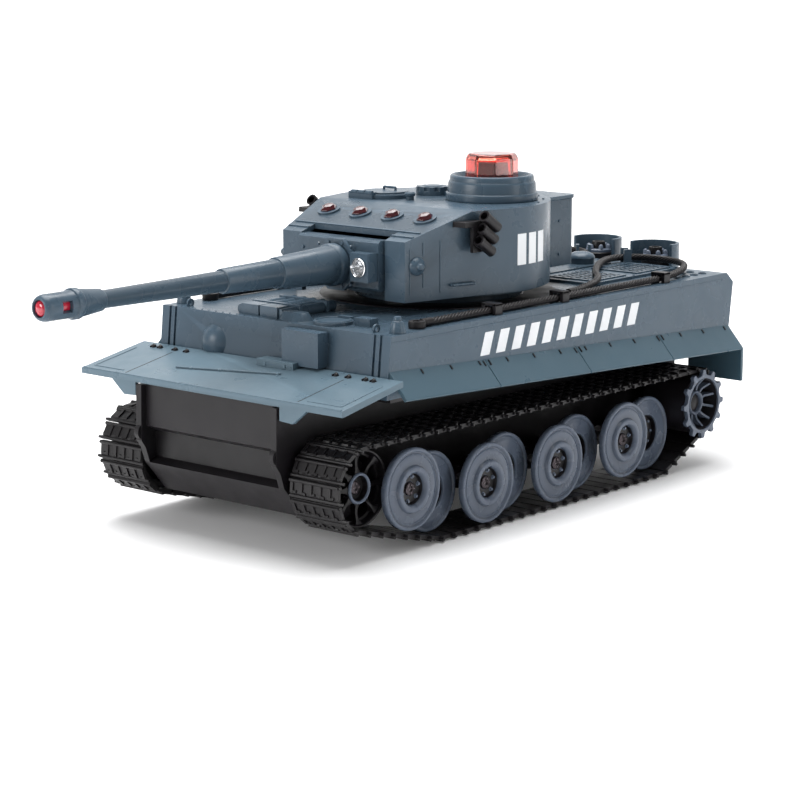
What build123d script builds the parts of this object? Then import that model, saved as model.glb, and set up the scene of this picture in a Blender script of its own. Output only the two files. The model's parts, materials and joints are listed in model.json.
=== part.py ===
from build123d import *
import os
from math import atan2, cos, degrees, hypot, pi, radians, sin, tan

# Radio-controlled toy battle tank. Millimetres, +Z up, the gun points along -Y, the tank's left is +X.
# The origin is on the ground, at the middle of the overall length and width.

os.makedirs("parts", exist_ok=True)

# ---------------------------------------------------------------- driving dimensions
WALL = 1.8                    # moulded shell thickness
PLATE_Y = -50.0               # top edge of the superstructure's front plate
PLATE_RAKE = 1.9              # how far its foot stands ahead of its top edge
GROOVE_DEPTH = 0.75           # of the vertical grooves near its ends
DECK_Z = 64.5                 # top of the hull deck
DECK_END_Y = 125.8            # rear end of the flat deck
REAR_Y = 129.8                # rearmost line of the superstructure
UPPER_HALF = 47.2             # half width of the superstructure
UPPER_FOOT_Z = 46.0           # underside of the superstructure
FENDER_HALF = 53.8            # half width over fenders and skirts
FENDER_FRONT_Y = -78.5        # front edge of the fender plate
FENDER_FRONT_Z = 47.7         # its top there
FENDER_BACK_Y = -52.2         # where it meets the front plate
FENDER_BACK_Z = 52.6
FENDER_T = 1.6
LOWER_HALF = 29.1             # half width of the hull tub
LOWER_FRONT_Y = -78.9         # front of its side cheeks
LOWER_REAR_Y = 122.0
LOWER_TOP_Z = 45.5
BELLY_Z = 11.5                # underside of the hull tub
BELLY_FRONT_Y = -67.5
BELLY_REAR_Y = 112.0

TRACK_IN_X = 30.6             # track width, from its inner edge
TRACK_OUT_X = 49.6            # to its outer edge
PIN_OUT_X = 50.9              # ends of the track pins
BELT_T = 1.2                  # track band thickness
GROUSER_H = 0.65              # height of the grip bars on it
BELT_GAP = 0.25               # room between band and wheels
LINK_PITCH = 5.6              # along the band

ROAD_R = 12.4                 # road wheel radius
ROAD_T = 2.2                  # road wheel thickness at the rim
HUB_T = 3.6                   # and over its hub
HUB_RING_PROUD = 0.7          # hub ring of an outer wheel, over its rim
ROAD_Z = 14.5                 # axle height of the level wheels
OUTER_FACE_X = 49.3           # outside face of the outer row
INNER_FACE_X = 43.8           # outside face of the inner row
OUTER_Y = [-43.1, -7.7, 27.9, 63.8]
OUTER_Z = [ROAD_Z + 4.2, ROAD_Z, ROAD_Z, ROAD_Z + 1.8]
INNER_Y = [-28.3, 7.3, 44.5, 84.4]
IDLER_IN_X, IDLER_OUT_X = 33.6, 46.7
IDLER_Y, IDLER_Z, IDLER_R = -62.4, 21.8, 11.6
SPROCKET_Y, SPROCKET_Z = 106.8, 22.1
DRUM_R = 10.3                 # sprocket drum that the band runs on
TOOTH_R = 11.8                # sprocket tooth tips
SPROCKET_TEETH = 12
AXLE_R = 1.5
BORE_R = 1.56                 # running bore on an axle

TURRET_Y = 28.0               # turret turning axis
TURRET_R = 36.0               # radius of the turret's round rear
TURRET_FRONT_Y = -18.3        # turret front face
TURRET_FRONT_HALF = 25.3
TURRET_FOOT_Z = 68.4
TURRET_FRONT_Z = 86.9         # front edge of the roof
ROOF_Z = 94.7                 # flat part of the roof
ROOF_SLOPE = 0.32             # rise of the roof's sloped front part
RING_R = 26.93                # turret neck
RING_OPENING_R = 27.0         # opening in the hull deck

GUN_Z = 78.5                  # gun axis and trunnions
TRUNNION_Y = -11.0
MUZZLE_Y = -141.0
CUPOLA_X, CUPOLA_Y = 14.0, 37.8
LENS_X = [-19.95, -6.65, 6.65, 19.95]
LENS_Y = -2.5
EXHAUST_X = 12.4
EXHAUST_Y = 131.9
EXHAUST_R = 9.1
SIDES = {"left": 1, "right": -1}

CABLE_R = 1.25                # tow cables
CABLE_X = 42.9                # their long run along the deck
CABLE_Z = DECK_Z + CABLE_R + 0.06
CABLE_BEND = 5.0              # bend radius of their loops


def save(part, name):
    part.label = name
    export_step(part, "parts/" + name + ".step")


def side_profile(points, x_from, x_to, mode=Mode.ADD):
    """A prism across the tank: points are (y, z), from x_from to x_to."""
    with BuildSketch(Plane.YZ.offset(x_from)) as outline:
        with BuildLine():
            Polyline(*points, close=True)
        make_face()
    extrude(outline.sketch, amount=x_to - x_from, mode=mode)


def slab(x_from, x_to, y_from, y_to, z_from, z_to, mode=Mode.ADD):
    """A plain box between two corners."""
    with Locations(((x_from + x_to) / 2, (y_from + y_to) / 2, (z_from + z_to) / 2)):
        Box(abs(x_to - x_from), y_to - y_from, z_to - z_from, mode=mode)


def across(x, y, z):
    """A plane whose normal is +X, for pieces turned about an axle."""
    return Plane(origin=(x, y, z), x_dir=(0, 1, 0), z_dir=(1, 0, 0))


def lathe_across(x, y, z, profile, side=1, mode=Mode.ADD):
    """Turn a closed profile of (x, r) points about the axle through (x, y, z)."""
    with BuildSketch(Plane(origin=(x * side, y, z), x_dir=(side, 0, 0), z_dir=(0, -side, 0))) as outline:
        with BuildLine():
            Polyline(*profile, close=True)
        make_face()
    revolve(outline.sketch, axis=Axis((x * side, y, z), (1, 0, 0)), mode=mode)


def rod(x_from, x_to, y, z, radius, mode=Mode.ADD):
    """A round bar along X."""
    with BuildSketch(across(min(x_from, x_to), y, z)) as section:
        Circle(radius)
    extrude(section.sketch, amount=abs(x_to - x_from), mode=mode)


# ---------------------------------------------------------------- superstructure
RING_PLANE = Plane(origin=(0, TURRET_Y, DECK_Z))
ROD_X = [-16.4, -12.4, -8.4, -4.4, -0.4]      # cleaning rods on the front deck
ROD_FRONT_Y, ROD_RUN = -46.4, 24.0
ROD_R = 1.6
BALL_X, BALL_Z = -24.0, 55.0                  # machine-gun mount on the front plate
BALL_R, BALL_PROUD = 5.2, 2.4                 # its rim radius and its height over the plate
BALL_SPHERE_R = (BALL_R ** 2 + BALL_PROUD ** 2) / (2 * BALL_PROUD)
LID_X, LID_Y, LID_R = 18.5, PLATE_Y + 7.0, 6.0
VISOR_X0, VISOR_X1 = 8.6, 23.2
AIR_X, AIR_Y = 4.6, PLATE_Y + 5.6             # oblong ventilator on the front deck

upper_outline = [
    (PLATE_Y, DECK_Z),
    (DECK_END_Y, DECK_Z),
    (REAR_Y, DECK_Z - 3.4),
    (REAR_Y - 2.0, UPPER_FOOT_Z),
    (PLATE_Y - PLATE_RAKE, UPPER_FOOT_Z),
]
upper_cavity = [
    (PLATE_Y + WALL, DECK_Z - WALL),
    (DECK_END_Y - 1.0, DECK_Z - WALL),
    (REAR_Y - WALL, DECK_Z - 4.4),
    (REAR_Y - 2.0 - WALL, UPPER_FOOT_Z - 1),
    (PLATE_Y - PLATE_RAKE + WALL, UPPER_FOOT_Z - 1),
]
with BuildPart() as upper_hull:
    side_profile(upper_outline, -UPPER_HALF, UPPER_HALF)
    side_profile(upper_cavity, -UPPER_HALF + WALL, UPPER_HALF - WALL, mode=Mode.SUBTRACT)
    # turret ring opening, with a short collar under it
    with BuildSketch(RING_PLANE.offset(-WALL - 3.0)):
        Circle(RING_OPENING_R + 2.0)
    extrude(amount=3.2)
    with BuildSketch(RING_PLANE.offset(-WALL - 3.0)):
        Circle(RING_OPENING_R)
    extrude(amount=WALL + 4, mode=Mode.SUBTRACT)
    # driver's visor block
    slab(VISOR_X0, VISOR_X1, PLATE_Y - 5.0, PLATE_Y - 0.5, 52.9, 63.4)
    # vertical grooves near both ends of the front plate
    for groove_x in (-43.6, -41.2, 41.2, 43.6):
        side_profile([
            (PLATE_Y - 4, DECK_Z + 1),
            (PLATE_Y + GROOVE_DEPTH, DECK_Z + 1),
            (PLATE_Y - PLATE_RAKE + GROOVE_DEPTH, UPPER_FOOT_Z),
            (PLATE_Y - 4, UPPER_FOOT_Z),
        ], groove_x - 0.45, groove_x + 0.45, mode=Mode.SUBTRACT)
    # shallow dome of the machine-gun mount
    ball_plate_y = PLATE_Y - PLATE_RAKE * (DECK_Z - BALL_Z) / (DECK_Z - UPPER_FOOT_Z)
    with Locations((BALL_X, ball_plate_y - BALL_PROUD + BALL_SPHERE_R, BALL_Z)):
        Sphere(BALL_SPHERE_R)
    side_profile(upper_cavity, -UPPER_HALF + WALL, UPPER_HALF - WALL, mode=Mode.SUBTRACT)
    with BuildSketch(RING_PLANE.offset(-WALL - 3.0)):
        Circle(RING_OPENING_R + 2.0)
        Circle(RING_OPENING_R, mode=Mode.SUBTRACT)
    extrude(amount=3.2)
    # driver's round lid, the block behind it and the oblong ventilator beside it
    with BuildSketch(Plane(origin=(LID_X, LID_Y, DECK_Z - 0.2))):
        Circle(LID_R)
    extrude(amount=1.2)
    slab(25.6, 31.6, PLATE_Y + 8.4, PLATE_Y + 12.4, DECK_Z - 0.2, DECK_Z + 2.4)
    with BuildSketch(Plane(origin=(AIR_X, AIR_Y, DECK_Z - 0.2))):
        SlotOverall(12.0, 7.0)
    with BuildSketch(Plane(origin=(AIR_X, AIR_Y, DECK_Z + 2.4))):
        SlotOverall(9.0, 3.6)
    loft()
    # bundle of cleaning rods lying on the deck, with the two pads that carry their front ends
    for rod_x in ROD_X:
        with BuildSketch(Plane(origin=(rod_x, ROD_FRONT_Y, DECK_Z + 1.3), x_dir=(1, 0, 0), z_dir=(0, 1, 0))):
            Circle(ROD_R)
        extrude(amount=ROD_RUN)
    for pad_x in (-12.2, -4.4):
        slab(pad_x - 3.6, pad_x + 3.6, ROD_FRONT_Y - 0.6, ROD_FRONT_Y + 4.6, DECK_Z - 0.2, DECK_Z + 3.3)
    # cable clamps on the deck
    for side in (1, -1):
        for clamp_y in (2.0, 36.0, 92.0):
            clamp_x = side * CABLE_X
            slab(clamp_x - 2.6, clamp_x - 1.5, clamp_y - 1.5, clamp_y + 1.5, DECK_Z - 0.2, DECK_Z + 3.4)
            slab(clamp_x + 1.5, clamp_x + 2.6, clamp_y - 1.5, clamp_y + 1.5, DECK_Z - 0.2, DECK_Z + 3.4)
            slab(clamp_x - 2.6, clamp_x + 2.6, clamp_y - 1.5, clamp_y + 1.5, DECK_Z + 2.65, DECK_Z + 3.4)
save(upper_hull.part, "upper_hull")

# engine deck insert with its air grilles
INSERT_T, GRILLE_TOP = 0.9, 1.3
with BuildPart() as engine_deck:
    slab(-31.0, 31.0, 70.0, 121.5, DECK_Z, DECK_Z + INSERT_T)
    for grille_x in (-19.5, 19.5):
        slab(grille_x - 9.5, grille_x + 9.5, 73.0, 92.0, DECK_Z + 0.5, DECK_Z + GRILLE_TOP)
        slab(grille_x - 9.5, grille_x + 9.5, 98.0, 118.0, DECK_Z + 0.5, DECK_Z + GRILLE_TOP)
        for row in range(7):
            slot_y = 74.8 + row * 2.4
            slab(grille_x - 8.2, grille_x + 8.2, slot_y, slot_y + 1.3, DECK_Z + 0.6, DECK_Z + 3, mode=Mode.SUBTRACT)
            slot_y += 25.6
            slab(grille_x - 8.2, grille_x + 8.2, slot_y, slot_y + 1.3, DECK_Z + 0.6, DECK_Z + 3, mode=Mode.SUBTRACT)
    slab(-7.0, 7.0, 76.0, 114.0, DECK_Z + 0.5, DECK_Z + GRILLE_TOP)
    with BuildSketch(Plane(origin=(0, 106.0, DECK_Z + 1.0))):
        Circle(4.4)
    extrude(amount=2.8)
    # clamps that hold the rear loops of the tow cables
    for side in (1, -1):
        with BuildSketch(Plane(origin=(side * 9.2, 119.6, DECK_Z + 0.8), x_dir=(side * 0.62, 0.785, 0))):
            with Locations((0, 2.1), (0, -2.1)):
                Rectangle(2.6, 1.1)
        extrude(amount=5.0)
save(engine_deck.part, "engine_deck")

# ---------------------------------------------------------------- front fender plate
with BuildPart() as front_mudguard:
    slope_drop = FENDER_T + 0.2
    side_profile([
        (FENDER_BACK_Y, FENDER_BACK_Z),
        (FENDER_BACK_Y, FENDER_BACK_Z - slope_drop),
        (FENDER_FRONT_Y + 1.0, FENDER_FRONT_Z - slope_drop),
        (FENDER_FRONT_Y, FENDER_FRONT_Z - slope_drop),
        (FENDER_FRONT_Y, FENDER_FRONT_Z),
    ], -FENDER_HALF, FENDER_HALF)
    # low box beside the driver's visor, standing on the plate
    slab(0.0, 15.0, -57.0, FENDER_BACK_Y, 50.5, 53.9)
    # triangular stays under the front edge
    for side in (1, -1):
        with BuildSketch(Plane.XZ.offset(-FENDER_FRONT_Y - 1.4)):
            with BuildLine():
                Polyline(
                    (side * 29.8, FENDER_FRONT_Z - 1.2),
                    (side * 41.0, FENDER_FRONT_Z - 1.2),
                    (side * 34.9, 41.6),
                    (side * 29.8, 41.9),
                    close=True,
                )
            make_face()
        extrude(amount=1.4)
    add(upper_hull.part, mode=Mode.SUBTRACT)
save(front_mudguard.part, "front_mudguard")

# ---------------------------------------------------------------- side skirts with rear mudguards
SKIRT_FRONT_Y, SKIRT_REAR_Y = -50.8, 127.2
SKIRT_RUN = SKIRT_REAR_Y - SKIRT_FRONT_Y
SKIRT_DROP = 7.9              # the skirt sits lower at its rear end
for side_name, side in SIDES.items():
    with BuildPart() as skirt:
        with BuildSketch(Plane(origin=(0, SKIRT_FRONT_Y, 0), x_dir=(1, 0, 0), z_dir=(0, -1, 0))):
            with BuildLine():
                Polyline(
                    (side * (UPPER_HALF + 0.05), 54.3),
                    (side * FENDER_HALF, 46.9),
                    (side * (FENDER_HALF - 0.9), 46.2),
                    (side * (UPPER_HALF + 0.05), 52.4),
                    close=True,
                )
            make_face()
        extrude(amount=SKIRT_RUN, dir=(0, SKIRT_RUN, -SKIRT_DROP))
        # mudguard that closes the skirt's rear end
        with BuildSketch(Plane(origin=(0, SKIRT_REAR_Y - 1.3, 0), x_dir=(1, 0, 0), z_dir=(0, -1, 0))):
            with BuildLine():
                Polyline(
                    (side * 32.0, 45.5),
                    (side * (UPPER_HALF + 0.05), 45.5),
                    (side * FENDER_HALF, 39.0),
                    (side * FENDER_HALF, 27.6),
                    (side * 32.0, 27.6),
                    close=True,
                )
            make_face()
        extrude(amount=-1.3)
    save(skirt.part, "side_skirt_" + side_name)

# ---------------------------------------------------------------- hull tub
GEAR_Y, GEAR_Z = SPROCKET_Y, SPROCKET_Z
PINION_Y = SPROCKET_Y - 10.4
DOOR_X, DOOR_Y0, DOOR_Y1 = 20.0, -30.0, 34.0
BOSS_OUT_X = 38.2             # ends of the road wheels' axle bosses
HUB_FACE_X = 32.7             # ends of the idler's and sprocket's bosses

with BuildPart() as lower_hull:
    side_profile([
        (LOWER_FRONT_Y + 2.0, LOWER_TOP_Z),
        (LOWER_FRONT_Y + 2.0, 32.8),
        (LOWER_FRONT_Y + 5.5, 31.0),
        (LOWER_FRONT_Y + 6.0, 22.8),
        (LOWER_FRONT_Y + 3.0, 21.3),
        (BELLY_FRONT_Y, BELLY_Z),
        (BELLY_REAR_Y, BELLY_Z),
        (LOWER_REAR_Y, 24.0),
        (LOWER_REAR_Y, LOWER_TOP_Z),
    ], -LOWER_HALF, LOWER_HALF)
    # cheeks that stand proud of the recessed bow plate
    for side in (1, -1):
        side_profile([
            (LOWER_FRONT_Y, LOWER_TOP_Z),
            (LOWER_FRONT_Y - 0.3, 28.5),
            (LOWER_FRONT_Y + 1.4, 26.0),
            (LOWER_FRONT_Y + 3.0, 21.3),
            (-60.0, 21.3),
            (-60.0, LOWER_TOP_Z),
        ], side * 26.9, side * LOWER_HALF)
        # sponson floor over the track
        slab(*sorted((side * (LOWER_HALF - 1), side * (UPPER_HALF - 2.0))), -48.0, 121.0, 44.4, LOWER_TOP_Z)
    # inside of the tub
    side_profile([
        (-70.5, LOWER_TOP_Z + 1),
        (-70.5, 24.5),
        (-65.5, BELLY_Z + 2.0),
        (BELLY_REAR_Y - 1.0, BELLY_Z + 2.0),
        (LOWER_REAR_Y - 2.0, 25.0),
        (LOWER_REAR_Y - 2.0, LOWER_TOP_Z + 1),
    ], -LOWER_HALF + WALL, LOWER_HALF - WALL, mode=Mode.SUBTRACT)
    # axle bosses and their bores
    stations = [(y, z, BOSS_OUT_X) for y, z in zip(OUTER_Y, OUTER_Z)]
    stations += [(y, ROAD_Z, BOSS_OUT_X) for y in INNER_Y]
    stations += [(IDLER_Y, IDLER_Z, HUB_FACE_X)]
    for side in (1, -1):
        for y, z, reach in stations:
            rod(side * (LOWER_HALF - 0.5), side * reach, y, z, 3.4)
        rod(side * (LOWER_HALF - 0.5), side * HUB_FACE_X, SPROCKET_Y, SPROCKET_Z, 4.2)
        for y, z, reach in stations:
            rod(side * (LOWER_HALF - 4), side * (reach + 1), y, z, AXLE_R, mode=Mode.SUBTRACT)
        rod(side * (LOWER_HALF - 4), side * 36, SPROCKET_Y, SPROCKET_Z, 2.06, mode=Mode.SUBTRACT)
    # battery hatch opening with a ledge, switch slot and screw holes in the floor
    slab(-DOOR_X + 1.2, DOOR_X - 1.2, DOOR_Y0 + 1.2, DOOR_Y1 - 1.2, BELLY_Z - 1, BELLY_Z + 3, mode=Mode.SUBTRACT)
    slab(-DOOR_X, DOOR_X, DOOR_Y0, DOOR_Y1, BELLY_Z - 1, BELLY_Z + 1.2, mode=Mode.SUBTRACT)
    slab(-5.0, 5.0, -51.6, -46.4, BELLY_Z - 1, BELLY_Z + 3, mode=Mode.SUBTRACT)
    for screw_x in (-22.0, 22.0):
        for screw_y in (-58.0, 60.0):
            with BuildSketch(Plane(origin=(screw_x, screw_y, BELLY_Z))):
                Circle(3.6)
            extrude(amount=12)
            with BuildSketch(Plane(origin=(screw_x, screw_y, BELLY_Z - 1))):
                Circle(1.3)
            extrude(amount=14, mode=Mode.SUBTRACT)
            with BuildSketch(Plane(origin=(screw_x, screw_y, BELLY_Z - 1))):
                Circle(2.6)
            extrude(amount=2.6, mode=Mode.SUBTRACT)
save(lower_hull.part, "lower_hull")

with BuildPart() as battery_door:
    slab(-DOOR_X + 0.2, DOOR_X - 0.2, DOOR_Y0 + 0.2, DOOR_Y1 - 0.2, BELLY_Z, BELLY_Z + 1.2)
    for rib in range(5):
        rib_y = DOOR_Y0 + 6 + rib * 3
        slab(-12, 12, rib_y, rib_y + 1.2, BELLY_Z - 0.1, BELLY_Z + 0.5, mode=Mode.SUBTRACT)
save(battery_door.part, "battery_door")

with BuildPart() as power_switch:
    slab(-6.5, 2.5, -51.2, -46.8, BELLY_Z + 2.1, BELLY_Z + 3.4)
    slab(-4.6, 0.6, -50.6, -47.4, BELLY_Z - 0.6, BELLY_Z + 2.2)
save(power_switch.part, "power_switch")

with BuildPart() as hull_screws:
    for screw_x in (-22.0, 22.0):
        for screw_y in (-58.0, 60.0):
            with BuildSketch(Plane(origin=(screw_x, screw_y, BELLY_Z + 0.2))):
                Circle(2.5)
            extrude(amount=1.4)
            with BuildSketch(Plane(origin=(screw_x, screw_y, BELLY_Z + 1.4))):
                Circle(1.25)
            extrude(amount=9.0)
            cut_z = BELLY_Z + 0.5
            slab(screw_x - 1.5, screw_x + 1.5, screw_y - 0.25, screw_y + 0.25, cut_z - 1, cut_z + 0.2, mode=Mode.SUBTRACT)
            slab(screw_x - 0.25, screw_x + 0.25, screw_y - 1.5, screw_y + 1.5, cut_z - 1, cut_z + 0.2, mode=Mode.SUBTRACT)
save(hull_screws.part, "hull_screws")

# ---------------------------------------------------------------- running gear
wheel_back = [
    (-HUB_T, BORE_R), (-HUB_T, 6.6), (-1.7, 7.0), (-1.7, 10.6), (-ROAD_T, 11.2),
    (-ROAD_T, ROAD_R - 0.3), (-ROAD_T + 0.3, ROAD_R), (-0.35, ROAD_R), (0, ROAD_R - 0.35), (0, 11.5),
]
outer_profile = wheel_back + [
    (-0.5, 11.2), (-0.5, 10.2), (-0.3, 7.2), (HUB_RING_PROUD, 6.9), (HUB_RING_PROUD, 5.4), (0.2, 4.9),
    (-1.6, 4.6), (-1.6, 2.6), (-1.9, 2.4), (-1.9, BORE_R),
]
inner_profile = wheel_back + [
    (-0.5, 11.2), (-0.5, 10.2), (-0.3, 6.6), (-0.3, 6.2), (-2.2, 5.9), (-2.2, BORE_R),
]
for side_name, side in SIDES.items():
    for number in range(4):
        with BuildPart() as outer_wheel:
            lathe_across(OUTER_FACE_X, OUTER_Y[number], OUTER_Z[number], outer_profile, side)
        save(outer_wheel.part, "road_wheel_outer_%s_%d" % (side_name, number + 1))
        with BuildPart() as inner_wheel:
            lathe_across(INNER_FACE_X, INNER_Y[number], ROAD_Z, inner_profile, side)
        save(inner_wheel.part, "road_wheel_inner_%s_%d" % (side_name, number + 1))

# fixed axles: a short steel pin at every wheel, drilled for its end screw
AXLE_ROOT_X = LOWER_HALF - WALL + 0.3
OUTER_AXLE_END = OUTER_FACE_X - 1.8
INNER_AXLE_END = INNER_FACE_X - 2.1
IDLER_AXLE_END = IDLER_OUT_X - 2.8
axle_list = [(y, z, OUTER_AXLE_END) for y, z in zip(OUTER_Y, OUTER_Z)]
axle_list += [(y, ROAD_Z, INNER_AXLE_END) for y in INNER_Y]
axle_list += [(IDLER_Y, IDLER_Z, IDLER_AXLE_END)]
with BuildPart() as wheel_axles:
    for side in (1, -1):
        for y, z, end_x in axle_list:
            rod(side * AXLE_ROOT_X, side * end_x, y, z, AXLE_R)
            rod(side * (end_x - 4.0), side * (end_x + 1), y, z, 0.8, mode=Mode.SUBTRACT)
save(wheel_axles.part, "wheel_axles")

# end screws that keep the wheels on
with BuildPart() as wheel_screws:
    for side in (1, -1):
        for y, z, end_x in axle_list:
            rod(side * end_x, side * (end_x + 0.9), y, z, 2.2)
            rod(side * (end_x - 3.6), side * (end_x + 0.1), y, z, 0.75)
            cut = sorted((side * (end_x + 0.55), side * (end_x + 1.2)))
            slab(cut[0], cut[1], y - 1.3, y + 1.3, z - 0.22, z + 0.22, mode=Mode.SUBTRACT)
            slab(cut[0], cut[1], y - 0.22, y + 0.22, z - 1.3, z + 1.3, mode=Mode.SUBTRACT)
save(wheel_screws.part, "wheel_screws")

# front idler: two rims on a hub tube with a spoked outer face
for side_name, side in SIDES.items():
    with BuildPart() as idler:
        lathe_across(IDLER_OUT_X, IDLER_Y, IDLER_Z, [
            (IDLER_IN_X - IDLER_OUT_X, 9.6), (IDLER_IN_X - IDLER_OUT_X, IDLER_R), (-0.4, IDLER_R),
            (0, IDLER_R - 0.4), (0, 9.8), (-0.4, 9.6),
        ], side)
        lathe_across(IDLER_OUT_X, IDLER_Y, IDLER_Z, [
            (-13.0, BORE_R), (-13.0, 4.6), (-1.2, 4.6), (-1.2, 3.6), (-2.9, 3.3), (-2.9, BORE_R),
        ], side)
        with BuildSketch(across(side * (IDLER_OUT_X - 4.2), IDLER_Y, IDLER_Z)):
            with PolarLocations(7.1, 8):
                Rectangle(6.2, 1.9)
        extrude(amount=side * 3.0)
        with BuildSketch(across(side * (IDLER_OUT_X - 8.2), IDLER_Y, IDLER_Z)):
            Circle(10.0)
            Circle(4.2, mode=Mode.SUBTRACT)
        extrude(amount=side * 1.4)
    save(idler.part, "idler_wheel_" + side_name)

# rear drive sprocket: drum under the band, toothed ring outside it, dished spokes to a recessed hub
DRUM_IN_X, RING_IN_X, RING_OUT_X = 33.6, 50.1, 51.6
SHAFT_R = 2.0
VALLEY_R = 9.9                # root of the sprocket teeth
tooth_ring = []
for tooth in range(SPROCKET_TEETH):
    for radius, turn in ((VALLEY_R, -9.0), (TOOTH_R, -3.6), (TOOTH_R, 3.6), (VALLEY_R, 9.0)):
        angle = radians(tooth * 360 / SPROCKET_TEETH + turn)
        tooth_ring.append((radius * cos(angle), radius * sin(angle)))
for side_name, side in SIDES.items():
    with BuildPart() as sprocket:
        lathe_across(RING_IN_X, SPROCKET_Y, SPROCKET_Z, [
            (DRUM_IN_X - RING_IN_X, 9.0), (DRUM_IN_X - RING_IN_X, DRUM_R), (0, DRUM_R), (0, 9.0),
        ], side)
        with BuildSketch(across(side * (RING_IN_X - 0.2), SPROCKET_Y, SPROCKET_Z)):
            with BuildLine():
                Polyline(*tooth_ring, close=True)
            make_face()
            Circle(8.8, mode=Mode.SUBTRACT)
        extrude(amount=side * (RING_OUT_X - RING_IN_X + 0.2))
        lathe_across(RING_OUT_X, SPROCKET_Y, SPROCKET_Z, [
            (-17.5, SHAFT_R), (-17.5, 4.6), (-3.0, 4.2), (-3.0, 2.9), (-4.6, 2.8), (-4.6, SHAFT_R),
        ], side)
        with BuildSketch(across(side * (RING_OUT_X - 6.2), SPROCKET_Y, SPROCKET_Z)):
            Circle(9.4)
            Circle(4.0, mode=Mode.SUBTRACT)
        extrude(amount=side * 1.2)
        for spoke in range(SPROCKET_TEETH):
            with BuildSketch(across(side * (RING_OUT_X - 5.2), SPROCKET_Y, SPROCKET_Z)):
                with Locations(Rot(0, 0, spoke * 360 / SPROCKET_TEETH) * Pos(6.7, 0, 0)):
                    Rectangle(5.4, 1.0)
            extrude(amount=side * 2.6)
    save(sprocket.part, "drive_sprocket_" + side_name)

# drive shaft with its moulded gear, running in the hull wall and the gearbox
GEAR_R, PINION_R = 7.0, 3.0
for side_name, side in SIDES.items():
    with BuildPart() as shaft:
        rod(side * 15.0, side * (RING_OUT_X - 4.7), SPROCKET_Y, SPROCKET_Z, SHAFT_R)
        with BuildSketch(across(side * 20.4, GEAR_Y, GEAR_Z)):
            Circle(GEAR_R - 1.2)
            with PolarLocations(GEAR_R - 0.9, 24):
                Rectangle(1.8, 0.9)
        extrude(amount=side * 3.2)
    save(shaft.part, "drive_shaft_" + side_name)
    with BuildPart() as pinion:
        with BuildSketch(across(side * 20.4, PINION_Y, GEAR_Z)):
            Circle(PINION_R - 0.9)
            with PolarLocations(PINION_R - 0.8, 10):
                Rectangle(1.6, 0.8)
            Circle(0.8, mode=Mode.SUBTRACT)
        extrude(amount=side * 3.6)
        rod(side * 17.8, side * 24.0, PINION_Y, GEAR_Z, 0.8)
    save(pinion.part, "motor_pinion_" + side_name)

with BuildPart() as gearboxes:
    for side in (1, -1):
        side_profile([
            (90.0, 13.6), (SPROCKET_Y + 4.2, 13.6), (SPROCKET_Y + 10.4, 22.0), (SPROCKET_Y + 10.4, 33.5), (90.0, 33.5),
        ], *sorted((side * 18.6, side * 27.1)))
        side_profile([
            (91.2, 14.6), (SPROCKET_Y + 3.7, 14.6), (SPROCKET_Y + 9.2, 22.2), (SPROCKET_Y + 9.2, 32.3), (91.2, 32.3),
        ], *sorted((side * 19.9, side * 25.2)), mode=Mode.SUBTRACT)
        rod(side * 14, side * 30, SPROCKET_Y, SPROCKET_Z, SHAFT_R + 0.06, mode=Mode.SUBTRACT)
        rod(side * 14, side * 22, PINION_Y, GEAR_Z, 1.1, mode=Mode.SUBTRACT)
save(gearboxes.part, "gearboxes")

with BuildPart() as drive_motors:
    for side in (1, -1):
        rod(side * 1.0, side * 17.6, PINION_Y - 1.6, GEAR_Z, 7.4)
        rod(side * 14, side * 18, PINION_Y, GEAR_Z, 0.9, mode=Mode.SUBTRACT)
save(drive_motors.part, "drive_motors")

# ---------------------------------------------------------------- tracks
def belt_circles(grow):
    """The circles that the band wraps, as (y, z, radius)."""
    circles = [(IDLER_Y, IDLER_Z, IDLER_R + BELT_GAP + grow)]
    circles += [(y, ROAD_Z, ROAD_R + BELT_GAP + grow) for y in (INNER_Y[0], INNER_Y[-1])]
    circles += [(SPROCKET_Y, SPROCKET_Z, DRUM_R + BELT_GAP + grow)]
    return circles


def belt_path(grow):
    """Straight runs and arcs round the wheels, counter-clockwise in (y, z) from the idler's foot."""
    circles = belt_circles(grow)
    runs = []
    for first, second in zip(circles, circles[1:] + circles[:1]):
        y1, z1, r1 = first
        y2, z2, r2 = second
        span = hypot(y2 - y1, z2 - z1)
        heading = atan2(z2 - z1, y2 - y1)
        lean = -pi / 2 + (r1 - r2) / span
        normal = heading + lean
        start = (y1 + r1 * cos(normal), z1 + r1 * sin(normal))
        end = (y2 + r2 * cos(normal), z2 + r2 * sin(normal))
        runs.append((start, end, normal))
    return circles, runs


def belt_outline(grow):
    circles, runs = belt_path(grow)
    for index, (start, end, normal) in enumerate(runs):
        Line(start, end)
        y, z, radius = circles[(index + 1) % len(circles)]
        leave = runs[(index + 1) % len(runs)][2]
        sweep = (degrees(leave - normal)) % 360
        CenterArc((y, z), radius, degrees(normal), sweep)


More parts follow.
